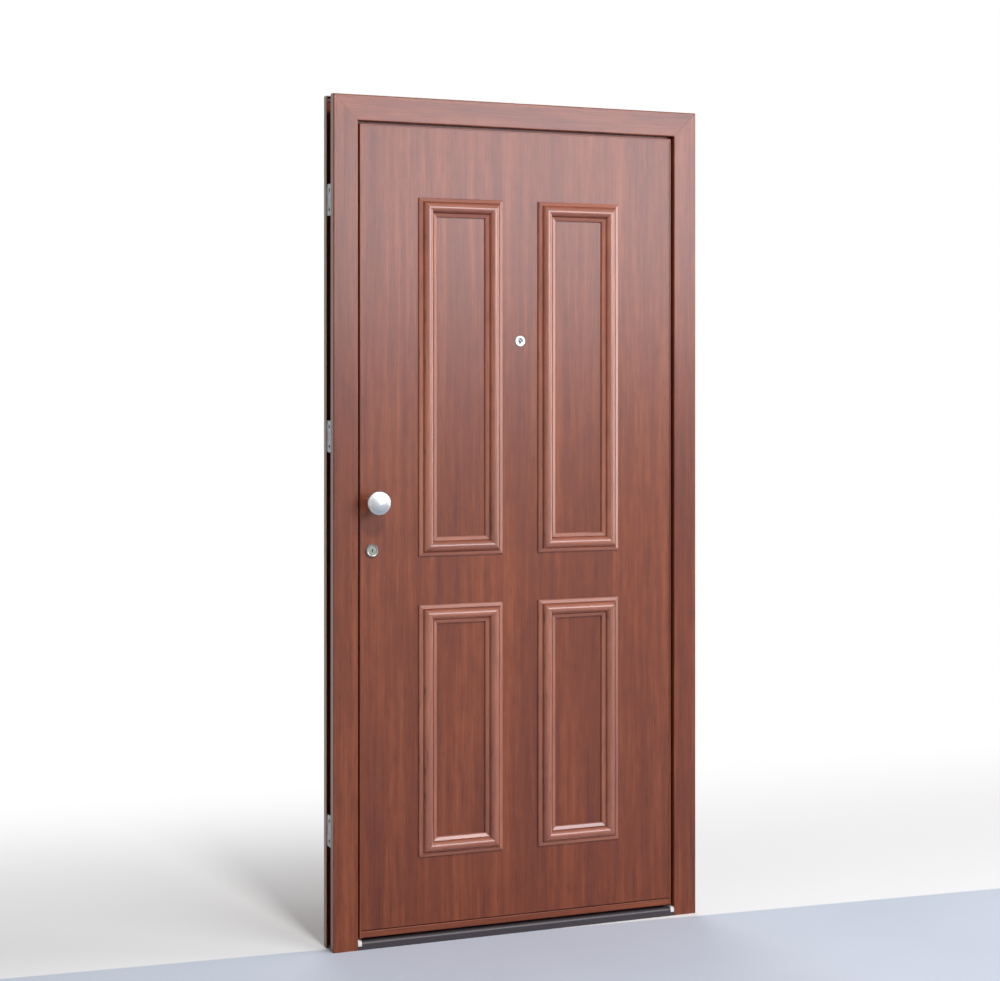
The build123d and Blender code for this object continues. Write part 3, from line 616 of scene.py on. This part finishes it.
@dataclass(frozen=True)
class SoftFinish:
    """Moulded plastic or rubber, with a fine skin and a little dust."""

    name: str
    colour: Colour
    dusty: Colour
    roughness: float
    skin: float = 900.0
    skin_depth: float = 0.04 * MM

    def material(self) -> bpy.types.Material:
        """The skin's material.

        Returns:
            The material.
        """
        shader = Shader(self.name)
        skin = shader.noise(shader.cells(self.skin, self.skin, self.skin), 2.0)
        dust = shader.noise(shader.cells(30.0, 120.0, 30.0), 3.0, 0.6)
        return shader.finish({
            "Base Color": shader.blend(dust.between(0.45, 0.8) * 0.6, self.colour, self.dusty),
            "Roughness": self.roughness + skin * 0.14,
            "Normal": shader.bump(skin, self.skin_depth, 0.35),
        })


@dataclass(frozen=True)
class LensGlass:
    """Wide-angle lens: glossy coated face with the view through clear glass painted on, painted
    shade of the dark barrel and a grey centre and pale inner ring of painted reflection.
    """

    name: str
    centre: tuple[float, float]
    radius: float

    # Painted view into the lens, by distance from its middle: the dark stops are painted shade
    # inside the barrel, the grey centre and the pale ring at 0.8 are painted reflections.
    rings: ClassVar[list[tuple[float, Colour]]] = [
        (0.0, srgb(96, 104, 112)),
        (0.34, srgb(44, 49, 55)),
        (0.62, srgb(24, 27, 31)),
        (0.8, srgb(150, 154, 156)),
        (0.95, srgb(60, 62, 64)),
    ]
    swirls: float = 400.0

    def material(self) -> bpy.types.Material:
        """The lens's material.

        Returns:
            The material.
        """
        shader = Shader(self.name)
        share = shader.radius(self.centre) / self.radius
        place = shader.point(shader.x * self.swirls, 0.0, shader.z * self.swirls)
        swirl = shader.noise(place, 1.0)
        return shader.finish({
            # Base colour: the rings of painted shade and painted reflection above, their edges
            # stirred by the swirls.
            "Base Color": shader.ramp(share + swirl * 0.06 - 0.03, self.rings),
            "Roughness": 0.04 + swirl * 0.03,
            "Specular IOR Level": 0.8,
            "Coat Weight": 1.0,
            "Coat Roughness": 0.02,
        })


@dataclass(frozen=True)
class MineralWool:
    """Pressed mineral wool slab."""

    name: str
    colour: Colour = srgb(178, 160, 104)
    shade: Colour = srgb(120, 104, 60)

    def material(self) -> bpy.types.Material:
        """The slab's material.

        Returns:
            The material.
        """
        shader = Shader(self.name)
        fibres = shader.noise(shader.cells(160.0, 900.0, 160.0), 4.0, 0.7)
        return shader.finish({
            "Base Color": shader.blend(fibres.between(0.35, 0.7), self.shade, self.colour),
            "Roughness": 0.95,
            "Normal": shader.bump(fibres, 0.6 * MM),
        })


def dress(material: bpy.types.Material, nodes: Iterable[str]) -> None:
    """Gives CAD nodes a material.

    Args:
        material: The finish.
        nodes: Names of the nodes.
    """
    for name in nodes:
        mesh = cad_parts[name].data
        mesh.materials.clear()
        mesh.materials.append(material)
        log.info("dressed %s in %s", name, material.name)


def middle(node: str) -> Vector:
    """Middle of a CAD node's box."""
    low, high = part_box(node)
    return (low + high) / 2


def face_point(node: str) -> tuple[float, float]:
    """Middle of a CAD node on the door's face, as X and Z."""
    centre = middle(node)
    return (centre.x, centre.z)


# Small hardware that repeats


@dataclass(frozen=True)
class Fixing:
    """One place where a screw head sits on a surface."""

    place: Place
    facing: Place
    radius: float


class GeometryTree(NodeTree):
    """A Geometry Nodes tree with named inputs."""

    def __init__(self, name: str) -> None:
        """Starts a tree that takes and gives a geometry.

        Args:
            name: The tree's name.
        """
        super().__init__(bpy.data.node_groups.new(name, "GeometryNodeTree"))
        for way in ("INPUT", "OUTPUT"):
            self.tree.interface.new_socket("Geometry", in_out=way, socket_type="NodeSocketGeometry")
        self.inlet = self.node("NodeGroupInput", {}, {})
        self.outlet = self.node("NodeGroupOutput", {}, {})

    def input(self, name: str, kind: str) -> Signal:
        """Adds a named input and gives its value inside the tree."""
        self.tree.interface.new_socket(name, in_out="INPUT", socket_type=kind)
        return Signal(self, self.inlet.outputs[name])

    def attribute(self, name: str, kind: str) -> Signal:
        """A value that the points carry."""
        return self.value("GeometryNodeInputNamedAttribute", {"data_type": kind}, {"Name": name})

    def chance(self, low: float, high: float, seed: Signal) -> Signal:
        """A random number for each point.

        Args:
            low: Smallest number.
            high: Largest number.
            seed: Seed of the draw.

        Returns:
            The number.
        """
        inputs = {2: low, 3: high, "Seed": seed}
        drawn = self.node("FunctionNodeRandomValue", {"data_type": "FLOAT"}, inputs)
        return Signal(self, drawn.outputs[1])

    def close(self, geometry: Signal, material: Signal) -> None:
        """Ends the tree in Realize Instances and Set Material.

        Args:
            geometry: What the tree has made so far.
            material: The finish of all of it.
        """
        real = self.value("GeometryNodeRealizeInstances", {}, {"Geometry": geometry})
        coated = self.value("GeometryNodeSetMaterial", {}, {"Geometry": real, "Material": material})
        self.tree.links.new(coated.socket, self.outlet.inputs[0])

    def run(self, points: bpy.types.Mesh, name: str, values: dict[str, Any]) -> bpy.types.Object:
        """Runs the tree on a mesh of points and keeps the result as a plain mesh.

        Args:
            points: Mesh that carries the places.
            name: Name of the new piece.
            values: Values of the tree's inputs, by name.

        Returns:
            The new piece.
        """
        seed = bpy.data.objects.new(name + "_points", points)
        bpy.context.scene.collection.objects.link(seed)
        modifier = seed.modifiers.new("Repeat", "NODES")
        modifier.node_group = self.tree
        for item in self.tree.interface.items_tree:
            if item.in_out == "INPUT" and item.name in values:
                modifier[item.identifier] = values[item.name]
        bpy.context.view_layer.update()
        result = seed.evaluated_get(bpy.context.evaluated_depsgraph_get())
        mesh = bpy.data.meshes.new_from_object(result)
        seed.modifiers.remove(modifier)
        bpy.data.objects.remove(seed)
        piece = bpy.data.objects.new(name, mesh)
        bpy.context.scene.collection.objects.link(piece)
        return piece


def point_mesh(
    name: str, places: list[Place], facing: list[Place], sizes: list[float]
) -> bpy.types.Mesh:
    """Mesh of loose points that carry a direction and a size each.

    Args:
        name: The mesh's name.
        places: Where the points are.
        facing: Direction of each point.
        sizes: Size of each point.

    Returns:
        The mesh.
    """
    mesh = bpy.data.meshes.new(name)
    mesh.from_pydata(places, [], [])
    mesh.attributes.new("facing", "FLOAT_VECTOR", "POINT")
    mesh.attributes.new("size", "FLOAT", "POINT")
    for index, (way, size) in enumerate(zip(facing, sizes)):
        mesh.attributes["facing"].data[index].vector = way
        mesh.attributes["size"].data[index].value = size
    return mesh


@dataclass
class ScrewHeads:
    """Countersunk heads with a cross recess, one tree for every set."""

    sides: int = 28
    rise: float = 0.16
    land: float = 0.84
    arm: float = 0.46
    arm_width: float = 0.15
    bed_share: float = 0.7
    bed_height: float = 0.15
    seed: int = 7

    def head(self) -> bpy.types.Object:
        """One head of radius 1 on the XY plane, its top along Z.

        Returns:
            The object, not linked to any scene.
        """
        ring = [math.tau * i / self.sides for i in range(self.sides)]
        arm, half = self.arm, self.arm_width
        cross = [
            (arm, -half), (arm, half), (half, half), (half, arm), (-half, arm), (-half, half),
            (-arm, half), (-arm, -half), (-half, -half), (-half, -arm), (half, -arm), (half, -half),
        ]
        mesh = bmesh.new()
        land, share, bottom = self.land, self.bed_share, self.rise * self.bed_height
        foot = [mesh.verts.new((math.cos(a), math.sin(a), 0.0)) for a in ring]
        rim = [mesh.verts.new((land * math.cos(a), land * math.sin(a), self.rise)) for a in ring]
        lip = [mesh.verts.new((x, y, self.rise)) for x, y in cross]
        bed = [mesh.verts.new((x * share, y * share, bottom)) for x, y in cross]
        mesh.faces.new(reversed(foot))
        self._wall(mesh, foot, rim)
        self._wall(mesh, lip, bed)
        for edges in (self._loop(mesh, bed), self._loop(mesh, rim) + self._loop(mesh, lip)):
            bmesh.ops.triangle_fill(mesh, edges=edges, use_beauty=True)
        bmesh.ops.recalc_face_normals(mesh, faces=mesh.faces)
        data = bpy.data.meshes.new("screw_head")
        mesh.to_mesh(data)
        mesh.free()
        return bpy.data.objects.new("screw_head", data)

    @staticmethod
    def _wall(mesh: bmesh.types.BMesh, first: list, second: list) -> None:
        """Quads between two loops of as many points.

        Args:
            mesh: The mesh that takes them.
            first: Points of one loop.
            second: Points of the other, in the same order.
        """
        count = len(first)
        for i in range(count):
            mesh.faces.new((first[i], first[(i + 1) % count], second[(i + 1) % count], second[i]))

    @staticmethod
    def _loop(mesh: bmesh.types.BMesh, loop: list) -> list:
        """Edges round a closed loop of points."""
        return [mesh.edges.get((loop[i - 1], loop[i])) for i in range(len(loop))]

    def tree(self) -> GeometryTree:
        """The tree that sets a head on every point.

        Returns:
            The tree, with inputs Head, Size, Seed and Finish.
        """
        made = GeometryTree("screw_heads")
        head = made.input("Head", "NodeSocketObject")
        scale = made.input("Size", "NodeSocketFloat")
        seed = made.input("Seed", "NodeSocketInt")
        finish = made.input("Finish", "NodeSocketMaterial")
        shape = made.node("GeometryNodeObjectInfo", {}, {"Object": head}).outputs["Geometry"]
        turn = made.chance(0.0, math.pi, seed)
        spin = made.value("FunctionNodeAxisAngleToRotation", {}, {"Angle": turn})
        facing = made.attribute("facing", "FLOAT_VECTOR")
        aim = made.value(
            "FunctionNodeAlignRotationToVector", {"axis": "Z"}, {"Rotation": spin, "Vector": facing}
        )
        places = made.inlet.outputs["Geometry"]
        span = made.attribute("size", "FLOAT") * scale
        put = made.value(
            "GeometryNodeInstanceOnPoints",
            {},
            {"Points": places, "Instance": shape, "Rotation": aim, "Scale": span},
        )
        made.close(put, finish)
        return made

    def build(self, name: str, body: str, fixings: list[Fixing],
              finish: bpy.types.Material) -> bpy.types.Object:
        """Builds one body's screw heads.

        Args:
            name: Name of the piece.
            body: Body that it rides on.
            fixings: Where the heads sit.
            finish: Their material.

        Returns:
            The piece.
        """
        places, facing = [f.place for f in fixings], [f.facing for f in fixings]
        points = point_mesh(name, places, facing, [f.radius for f in fixings])
        head = self.head()
        values = {"Head": head, "Size": 1.0, "Seed": self.seed, "Finish": finish}
        piece = self.tree().run(points, name, values)
        bpy.data.objects.remove(head)
        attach(piece, body)
        log.info("%s: %d heads on %s", name, len(fixings), body)
        return piece


@dataclass
class WeldBeads:
    """Short fillet welds that hold the anchor plates in the frame."""

    length: float = 22 * MM
    radius: float = 1.5 * MM
    off_middle: float = 22 * MM
    smallest: float = 0.86
    drops: int = 18
    seed: int = 3

    def tree(self) -> GeometryTree:
        """The tree that turns every point into a bead of overlapping drops along Z.

        Returns:
            The tree, with inputs Length, Drops, Seed and Finish.
        """
        made = GeometryTree("weld_beads")
        length = made.input("Length", "NodeSocketFloat")
        drops = made.input("Drops", "NodeSocketInt")
        seed = made.input("Seed", "NodeSocketInt")
        finish = made.input("Finish", "NodeSocketMaterial")
        low = made.point(0.0, 0.0, length * -0.5)
        high = made.point(0.0, 0.0, length * 0.5)
        line = made.value(
            "GeometryNodeMeshLine",
            {"mode": "END_POINTS"},
            {"Count": drops, "Start Location": low, "Offset": high},
        )
        places = made.inlet.outputs["Geometry"]
        rows = made.value("GeometryNodeInstanceOnPoints", {}, {"Points": places, "Instance": line})
        spots = made.value("GeometryNodeRealizeInstances", {}, {"Geometry": rows})
        round_drop = {"Segments": 8, "Rings": 5, "Radius": 1.0}
        drop = made.value("GeometryNodeMeshUVSphere", {}, round_drop)
        span = made.attribute("size", "FLOAT") * made.chance(self.smallest, 1.0, seed)
        put = made.value(
            "GeometryNodeInstanceOnPoints", {}, {"Points": spots, "Instance": drop, "Scale": span}
        )
        made.close(put, finish)
        return made

    def build(self, body: str, finish: bpy.types.Material) -> bpy.types.Object:
        """Builds the welds of all six anchor plates.

        Args:
            body: Body that they ride on.
            finish: Their material.

        Returns:
            The piece.
        """
        low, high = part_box("wall_anchors")
        plate_y = DoorFrame.return_edge
        places = [
            (side * high.x, y, height + step)
            for side in (-1, 1)
            for height in DoorFrame.anchor_heights
            for step in (-self.off_middle, self.off_middle)
            for y in (low.y + plate_y, high.y - plate_y)
        ]
        facing = [(0.0, 0.0, 1.0)] * len(places)
        points = point_mesh("anchor_welds", places, facing, [self.radius] * len(places))
        values = {"Length": self.length, "Drops": self.drops, "Seed": self.seed, "Finish": finish}
        piece = self.tree().run(points, "anchor_welds", values)
        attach(piece, body)
        log.info("anchor_welds: %d beads on %s", len(places), body)
        return piece


# Sub-assemblies


@dataclass
class DoorFrame:
    """Jambs, head, threshold, seals and what is fixed to them."""

    anchor_heights: ClassVar[tuple[float, ...]] = (0.3, 1.3, 1.9)
    return_edge: ClassVar[float] = 19 * MM
    plate_screw: float = 4.2 * MM
    strike_screw: float = 3.6 * MM
    end_inset: float = 8 * MM
    floor_screws: tuple[float, ...] = (-0.33, 0.0, 0.33)
    floor_screw_y: float = 18 * MM
    hinge_plate: float = 4 * MM
    hinge_inset: float = 11 * MM
    hinge_shares: tuple[float, ...] = (0.2, 0.5, 0.8)
    film_roughness: float = 0.28

    def dress(self) -> None:
        """Gives every node of the frame its finish."""
        low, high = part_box("frame_head")
        corners = Corners(low.x, high.x, BELOW_FLOOR, high.z)
        satin = self.film_roughness
        upright = WoodFilm("film_on_jambs", Grain.UPRIGHT, corners, shift=0.31, roughness=satin)
        across = WoodFilm("film_on_head", Grain.ACROSS, corners, shift=1.73, roughness=satin)
        dress(upright.material(), ["lock_jamb", "hinge_jamb"])
        dress(across.material(), ["frame_head"])
        dress(PowderCoat("threshold_coat", roughness=0.3).material(), ["threshold"])
        caps = SoftFinish("cap_plastic", srgb(214, 212, 208), srgb(186, 182, 174), 0.4)
        dress(caps.material(), ["threshold_caps"])
        rubber = SoftFinish("seal_rubber", srgb(30, 30, 32), srgb(64, 62, 60), 0.55)
        dress(rubber.material(), ["seal_lock_side", "seal_hinge_side", "seal_head"])
        dress(GroundSteel("strike_steel").material(), ["strike_plate"])
        zinc = ZincSheet("frame_zinc").material()
        dress(zinc, ["head_rod_keep", "floor_rod_keep", "wall_anchors"])
        coat = PowderCoat("hinge_coat", HINGE_BROWN, HINGE_WORN, 0.42)
        dress(coat.material(), ["upper_hinge_frame_half", "lower_hinge_frame_half"])
        dress(GroundSteel("hinge_pin_steel").material(), ["upper_hinge_pin", "lower_hinge_pin"])

    def fixings(self) -> list[Fixing]:
        """Places of the screws in the hinges' frame halves, the strike plate and the threshold.

        Returns:
            One entry for each screw.
        """
        found = []
        for node in ("upper_hinge_frame_half", "lower_hinge_frame_half"):
            low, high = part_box(node)
            face = low.y + self.hinge_plate
            x = high.x - self.hinge_inset
            for share in self.hinge_shares:
                z = low.z + (high.z - low.z) * share
                found.append(Fixing((x, face, z), (0, 1, 0), self.plate_screw))
        low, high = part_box("strike_plate")
        y = middle("strike_plate").y
        for z in (low.z + self.end_inset, high.z - self.end_inset):
            found.append(Fixing((high.x, y, z), (1, 0, 0), self.strike_screw))
        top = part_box("threshold")[1].z
        for x in self.floor_screws:
            found.append(Fixing((x, self.floor_screw_y, top), (0, 0, 1), self.plate_screw))
        return found


@dataclass
class DoorLeaf:
    """Skins, panels, mouldings, edge trims and the hinges' moving halves."""

    hinge_screw: float = 4.2 * MM
    hinge_face: float = 6.5 * MM
    hinge_insets: tuple[tuple[float, float], ...] = ((10 * MM, 0.2), (10 * MM, 0.8), (24 * MM, 0.5))
    faceplate_screw: float = 3.6 * MM
    faceplate_inset: float = 8 * MM
    mouldings: dict[str, float] = field(default_factory=lambda: {
        "upper_left_moulding": 2.1,
        "upper_right_moulding": 3.4,
        "lower_left_moulding": 4.7,
        "lower_right_moulding": 5.9,
    })

    def dress(self) -> None:
        """Gives every node of the leaf its finish."""
        dress(WoodFilm("film_on_outer_panel", shift=0.0).material(), ["outer_panel"])
        dress(WoodFilm("film_on_inner_panel", shift=8.4).material(), ["inner_panel"])
        for node, shift in self.mouldings.items():
            low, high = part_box(node)
            corners = Corners(low.x, high.x, low.z, high.z)
            film = WoodFilm("film_on_" + node, Grain.MITRED, corners, shift, WALNUT_EDGE, 0.32, 1.0)
            dress(film.material(), [node])
        low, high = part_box("top_edge_trim")
        corners = Corners(low.x, high.x, BELOW_FLOOR, high.z)
        upright = WoodFilm("film_on_edges", Grain.UPRIGHT, corners, shift=6.6)
        dress(upright.material(), ["lock_edge_trim", "hinge_edge_trim"])
        across = WoodFilm("film_on_ends", Grain.ACROSS, shift=7.7)
        dress(across.material(), ["top_edge_trim", "bottom_edge_trim"])
        sheets = ["outer_skin", "inner_skin", "stiffener_lock_side", "stiffener_centre",
                  "stiffener_hinge_side", "lock_case", "bolt_carriage"]
        dress(ZincSheet("leaf_zinc").material(), sheets)
        dress(MineralWool("slab_wool").material(), ["insulation"])
        coat = PowderCoat("leaf_hinge_coat", HINGE_BROWN, HINGE_WORN, 0.42)
        dress(coat.material(), ["upper_hinge_leaf_half", "lower_hinge_leaf_half"])
        dress(GroundSteel("dog_bolt_steel", "x").material(), ["dog_bolts"])
        alloy = GroundSteel("drop_case_alloy", "x", srgb(196, 198, 199))
        dress(alloy.material(), ["drop_seal_case"])
        rubber = SoftFinish("drop_seal_rubber", srgb(26, 26, 28), srgb(58, 56, 54), 0.6)
        dress(rubber.material(), ["drop_seal"])

    def fixings(self) -> list[Fixing]:
        """Places of the screws in the hinges' leaf halves and the lock's faceplate.

        Returns:
            One entry for each screw.
        """
        found = []
        for node in ("upper_hinge_leaf_half", "lower_hinge_leaf_half"):
            low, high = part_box(node)
            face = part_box("inner_panel")[1].y + self.hinge_face
            for inset, share in self.hinge_insets:
                z = low.z + (high.z - low.z) * share
                found.append(Fixing((low.x + inset, face, z), (0, 1, 0), self.hinge_screw))
        low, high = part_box("lock_faceplate")
        y = middle("lock_faceplate").y
        for z in (low.z + self.faceplate_inset, high.z - self.faceplate_inset):
            found.append(Fixing((low.x, y, z), (-1, 0, 0), self.faceplate_screw))
        return found


@dataclass
class LockSet:
    """Knobs, cylinder, thumbturn, bolts and rods."""

    def dress(self) -> None:
        """Gives every node of the lock its finish."""
        knob = SatinNickel("knob_nickel", face_point("outer_knob"))
        dress(knob.material(), ["outer_rosette", "outer_knob", "inner_rosette", "inner_knob"])
        cylinder = SatinNickel("cylinder_nickel", face_point("key_ring"))
        dress(cylinder.material(), ["key_ring", "thumbturn_rosette", "thumbturn"])
        barrel = SatinNickel("barrel_nickel", face_point("key_ring"), srgb(128, 132, 124), 0.3)
        dress(barrel.material(), ["cylinder_body", "key_plug"])
        along_x = GroundSteel("bolt_steel", "x")
        dress(along_x.material(), ["latch_bolt", "deadbolts"])
        upright = GroundSteel("rod_steel", "z")
        dress(upright.material(), ["upper_rod", "lower_rod", "lock_faceplate"])
        inner = GroundSteel("follower_steel", "y", srgb(170, 168, 160))
        dress(inner.material(), ["knob_spindle", "lock_follower", "lock_cam"])


@dataclass
class Peephole:
    """Door viewer with its lens, sleeve and swinging cover."""

    def dress(self) -> None:
        """Gives every node of the viewer its finish."""
        centre = face_point("viewer_lens")
        shell = SatinNickel("viewer_nickel", centre, srgb(176, 178, 180))
        dress(shell.material(), ["viewer_front_tube", "viewer_back_sleeve", "viewer_cover"])
        low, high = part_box("viewer_lens")
        dress(LensGlass("viewer_glass", centre, (high.x - low.x) / 2).material(), ["viewer_lens"])


# Studio


@dataclass(frozen=True)
class SoftBox:
    """One rectangular lamp aimed at a point of the door."""

    name: str
    place: Place
    target: Place
    width: float
    height: float
    watts: float
    colour: tuple[float, float, float] = (1.0, 1.0, 1.0)

    def build(self) -> None:
        """Adds the lamp to the scene."""
        lamp = bpy.data.lights.new(self.name, "AREA")
        lamp.shape = "RECTANGLE"
        lamp.size = self.width
        lamp.size_y = self.height
        lamp.energy = self.watts
        lamp.color = self.colour
        holder = bpy.data.objects.new(self.name, lamp)
        holder.location = self.place
        way = Vector(self.target) - Vector(self.place)
        holder.rotation_euler = way.to_track_quat("-Z", "Y").to_euler()
        bpy.context.scene.collection.objects.link(holder)
        log.info("lamp %s", self.name)


LAMPS = (
    SoftBox("sky_box", (2.5, -5.1, 2.7), (0.0, 0.0, 1.7), 3.6, 2.0, 196.0, (1.0, 0.97, 1.04)),
    SoftBox("side_box", (4.9, -1.4, 2.2), (0.0, 0.0, 1.2), 1.6, 3.4, 100.0),
    SoftBox("key_box", (-0.5, -3.6, 4.6), (-0.2, 0.0, 1.3), 0.6, 0.6, 145.0),
    SoftBox("room_box", (1.2, 5.2, 3.6), (0.0, 0.0, 1.2), 3.2, 2.6, 125.0),
)


@dataclass
class Studio:
    """Floor, lamps, pale surroundings and the camera at the photograph's place."""

    camera_place: Place = (-2.2058, -5.0727, 1.4382)
    camera_turn: float = -23.085
    camera_tilt: float = 90.0
    focal_length: float = 75.72
    sensor: float = 36.0
    shift_y: float = -0.1085
    floor_front: Colour = srgb(203, 210, 221)
    floor_cloud: Colour = srgb(184, 192, 206)
    floor_back: Colour = srgb(236, 236, 236)
    floor_edge: tuple[float, float] = (-0.039, -0.07)
    floor_edge_width: float = 0.012
    floor_reach: float = 14.0
    floor_clouds: float = 1.4
    floor_sand: float = 420.0
    fade_start: float = 0.25
    fade_end: float = 2.2
    paved: float = 2.6
    ambient: float = 0.2

    def build(self) -> None:
        """Builds the whole studio."""
        self.floor()
        self.surroundings()
        for lamp in LAMPS:
            lamp.build()
        self.camera()
        bpy.context.scene.view_settings.view_transform = "Standard"
        log.info("floor, surroundings and camera")

    def floor(self) -> None:
        """Floor: blue-grey outside the door, pale inside, fading to white far away."""
        mesh = bpy.data.meshes.new("floor")
        reach = self.floor_reach
        corners = [(-reach, -reach, 0), (reach, -reach, 0), (reach, reach, 0), (-reach, reach, 0)]
        mesh.from_pydata(corners, [], [(0, 1, 2, 3)])
        shader = Shader("floor_paving")
        cloud = shader.noise(shader.cells(self.floor_clouds, self.floor_clouds, 0.0), 3.0)
        sand = shader.noise(shader.cells(self.floor_sand, self.floor_sand, 0.0), 2.0)
        start, slope = self.floor_edge
        behind = shader.y - (shader.x * slope + start)
        inside = behind.between(0.0, self.floor_edge_width)
        paving = shader.blend(cloud * 0.8 + sand * 0.06, self.floor_front, self.floor_cloud)
        ground = shader.node("ShaderNodeBsdfPrincipled", {}, {
            "Base Color": shader.blend(inside, paving, self.floor_back),
            "Roughness": 0.75 + sand * 0.1,
            "Specular IOR Level": 0.25,
        })
        glow = shader.node("ShaderNodeEmission", {}, {"Strength": 1.0})
        far = behind.between(self.fade_start, self.fade_end)
        near = behind.between(-self.fade_start - self.paved, -self.fade_end - self.paved)
        beside = abs(shader.x).between(self.paved, self.paved + self.fade_end)
        white = far.most(near).most(beside) * shader.looked_at()
        mixed = shader.node(
            "ShaderNodeMixShader", {}, {"Fac": white, 1: ground.outputs[0], 2: glow.outputs[0]}
        )
        shader.node("ShaderNodeOutputMaterial", {}, {"Surface": mixed.outputs[0]})
        mesh.materials.append(shader.material)
        piece = bpy.data.objects.new("floor", mesh)
        bpy.context.scene.collection.objects.link(piece)

    def surroundings(self) -> None:
        """White surroundings for the camera and for reflections, softer light from them."""
        world = bpy.data.worlds.new("surroundings")
        world.use_nodes = True
        world.node_tree.nodes.clear()
        sky = NodeTree(world.node_tree)
        strength = sky.looked_at() * (1.0 - self.ambient) + self.ambient
        shell = sky.node(
            "ShaderNodeBackground", {}, {"Color": (1.0, 1.0, 1.0, 1.0), "Strength": strength}
        )
        sky.node("ShaderNodeOutputWorld", {}, {"Surface": shell.outputs[0]})
        bpy.context.scene.world = world

    def camera(self) -> None:
        """Camera where the photograph was taken from."""
        lens = bpy.data.cameras.new("camera")
        lens.sensor_width = self.sensor
        lens.lens = self.focal_length
        lens.shift_y = self.shift_y
        holder = bpy.data.objects.new("camera", lens)
        holder.location = self.camera_place
        tilt, turn = math.radians(self.camera_tilt), math.radians(self.camera_turn)
        holder.rotation_euler = (tilt, 0.0, turn)
        bpy.context.scene.collection.objects.link(holder)
        bpy.context.scene.camera = holder


def main() -> None:
    """Dresses the door, adds its small hardware and builds the studio."""
    logging.basicConfig(level=logging.INFO, format="%(message)s")
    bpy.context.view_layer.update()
    door_frame, leaf = DoorFrame(), DoorLeaf()
    for assembly in (door_frame, leaf, LockSet(), Peephole()):
        assembly.dress()
    screw_steel = GroundSteel("screw_steel", "y").material()
    screws = ScrewHeads()
    screws.build("frame_screws", "frame", door_frame.fixings(), screw_steel)
    screws.build("leaf_screws", "leaf", leaf.fixings(), screw_steel)
    WeldBeads().build("frame", ZincSheet("weld_metal", srgb(120, 122, 124)).material())
    Studio().build()


if __name__ == "__main__":
    main()
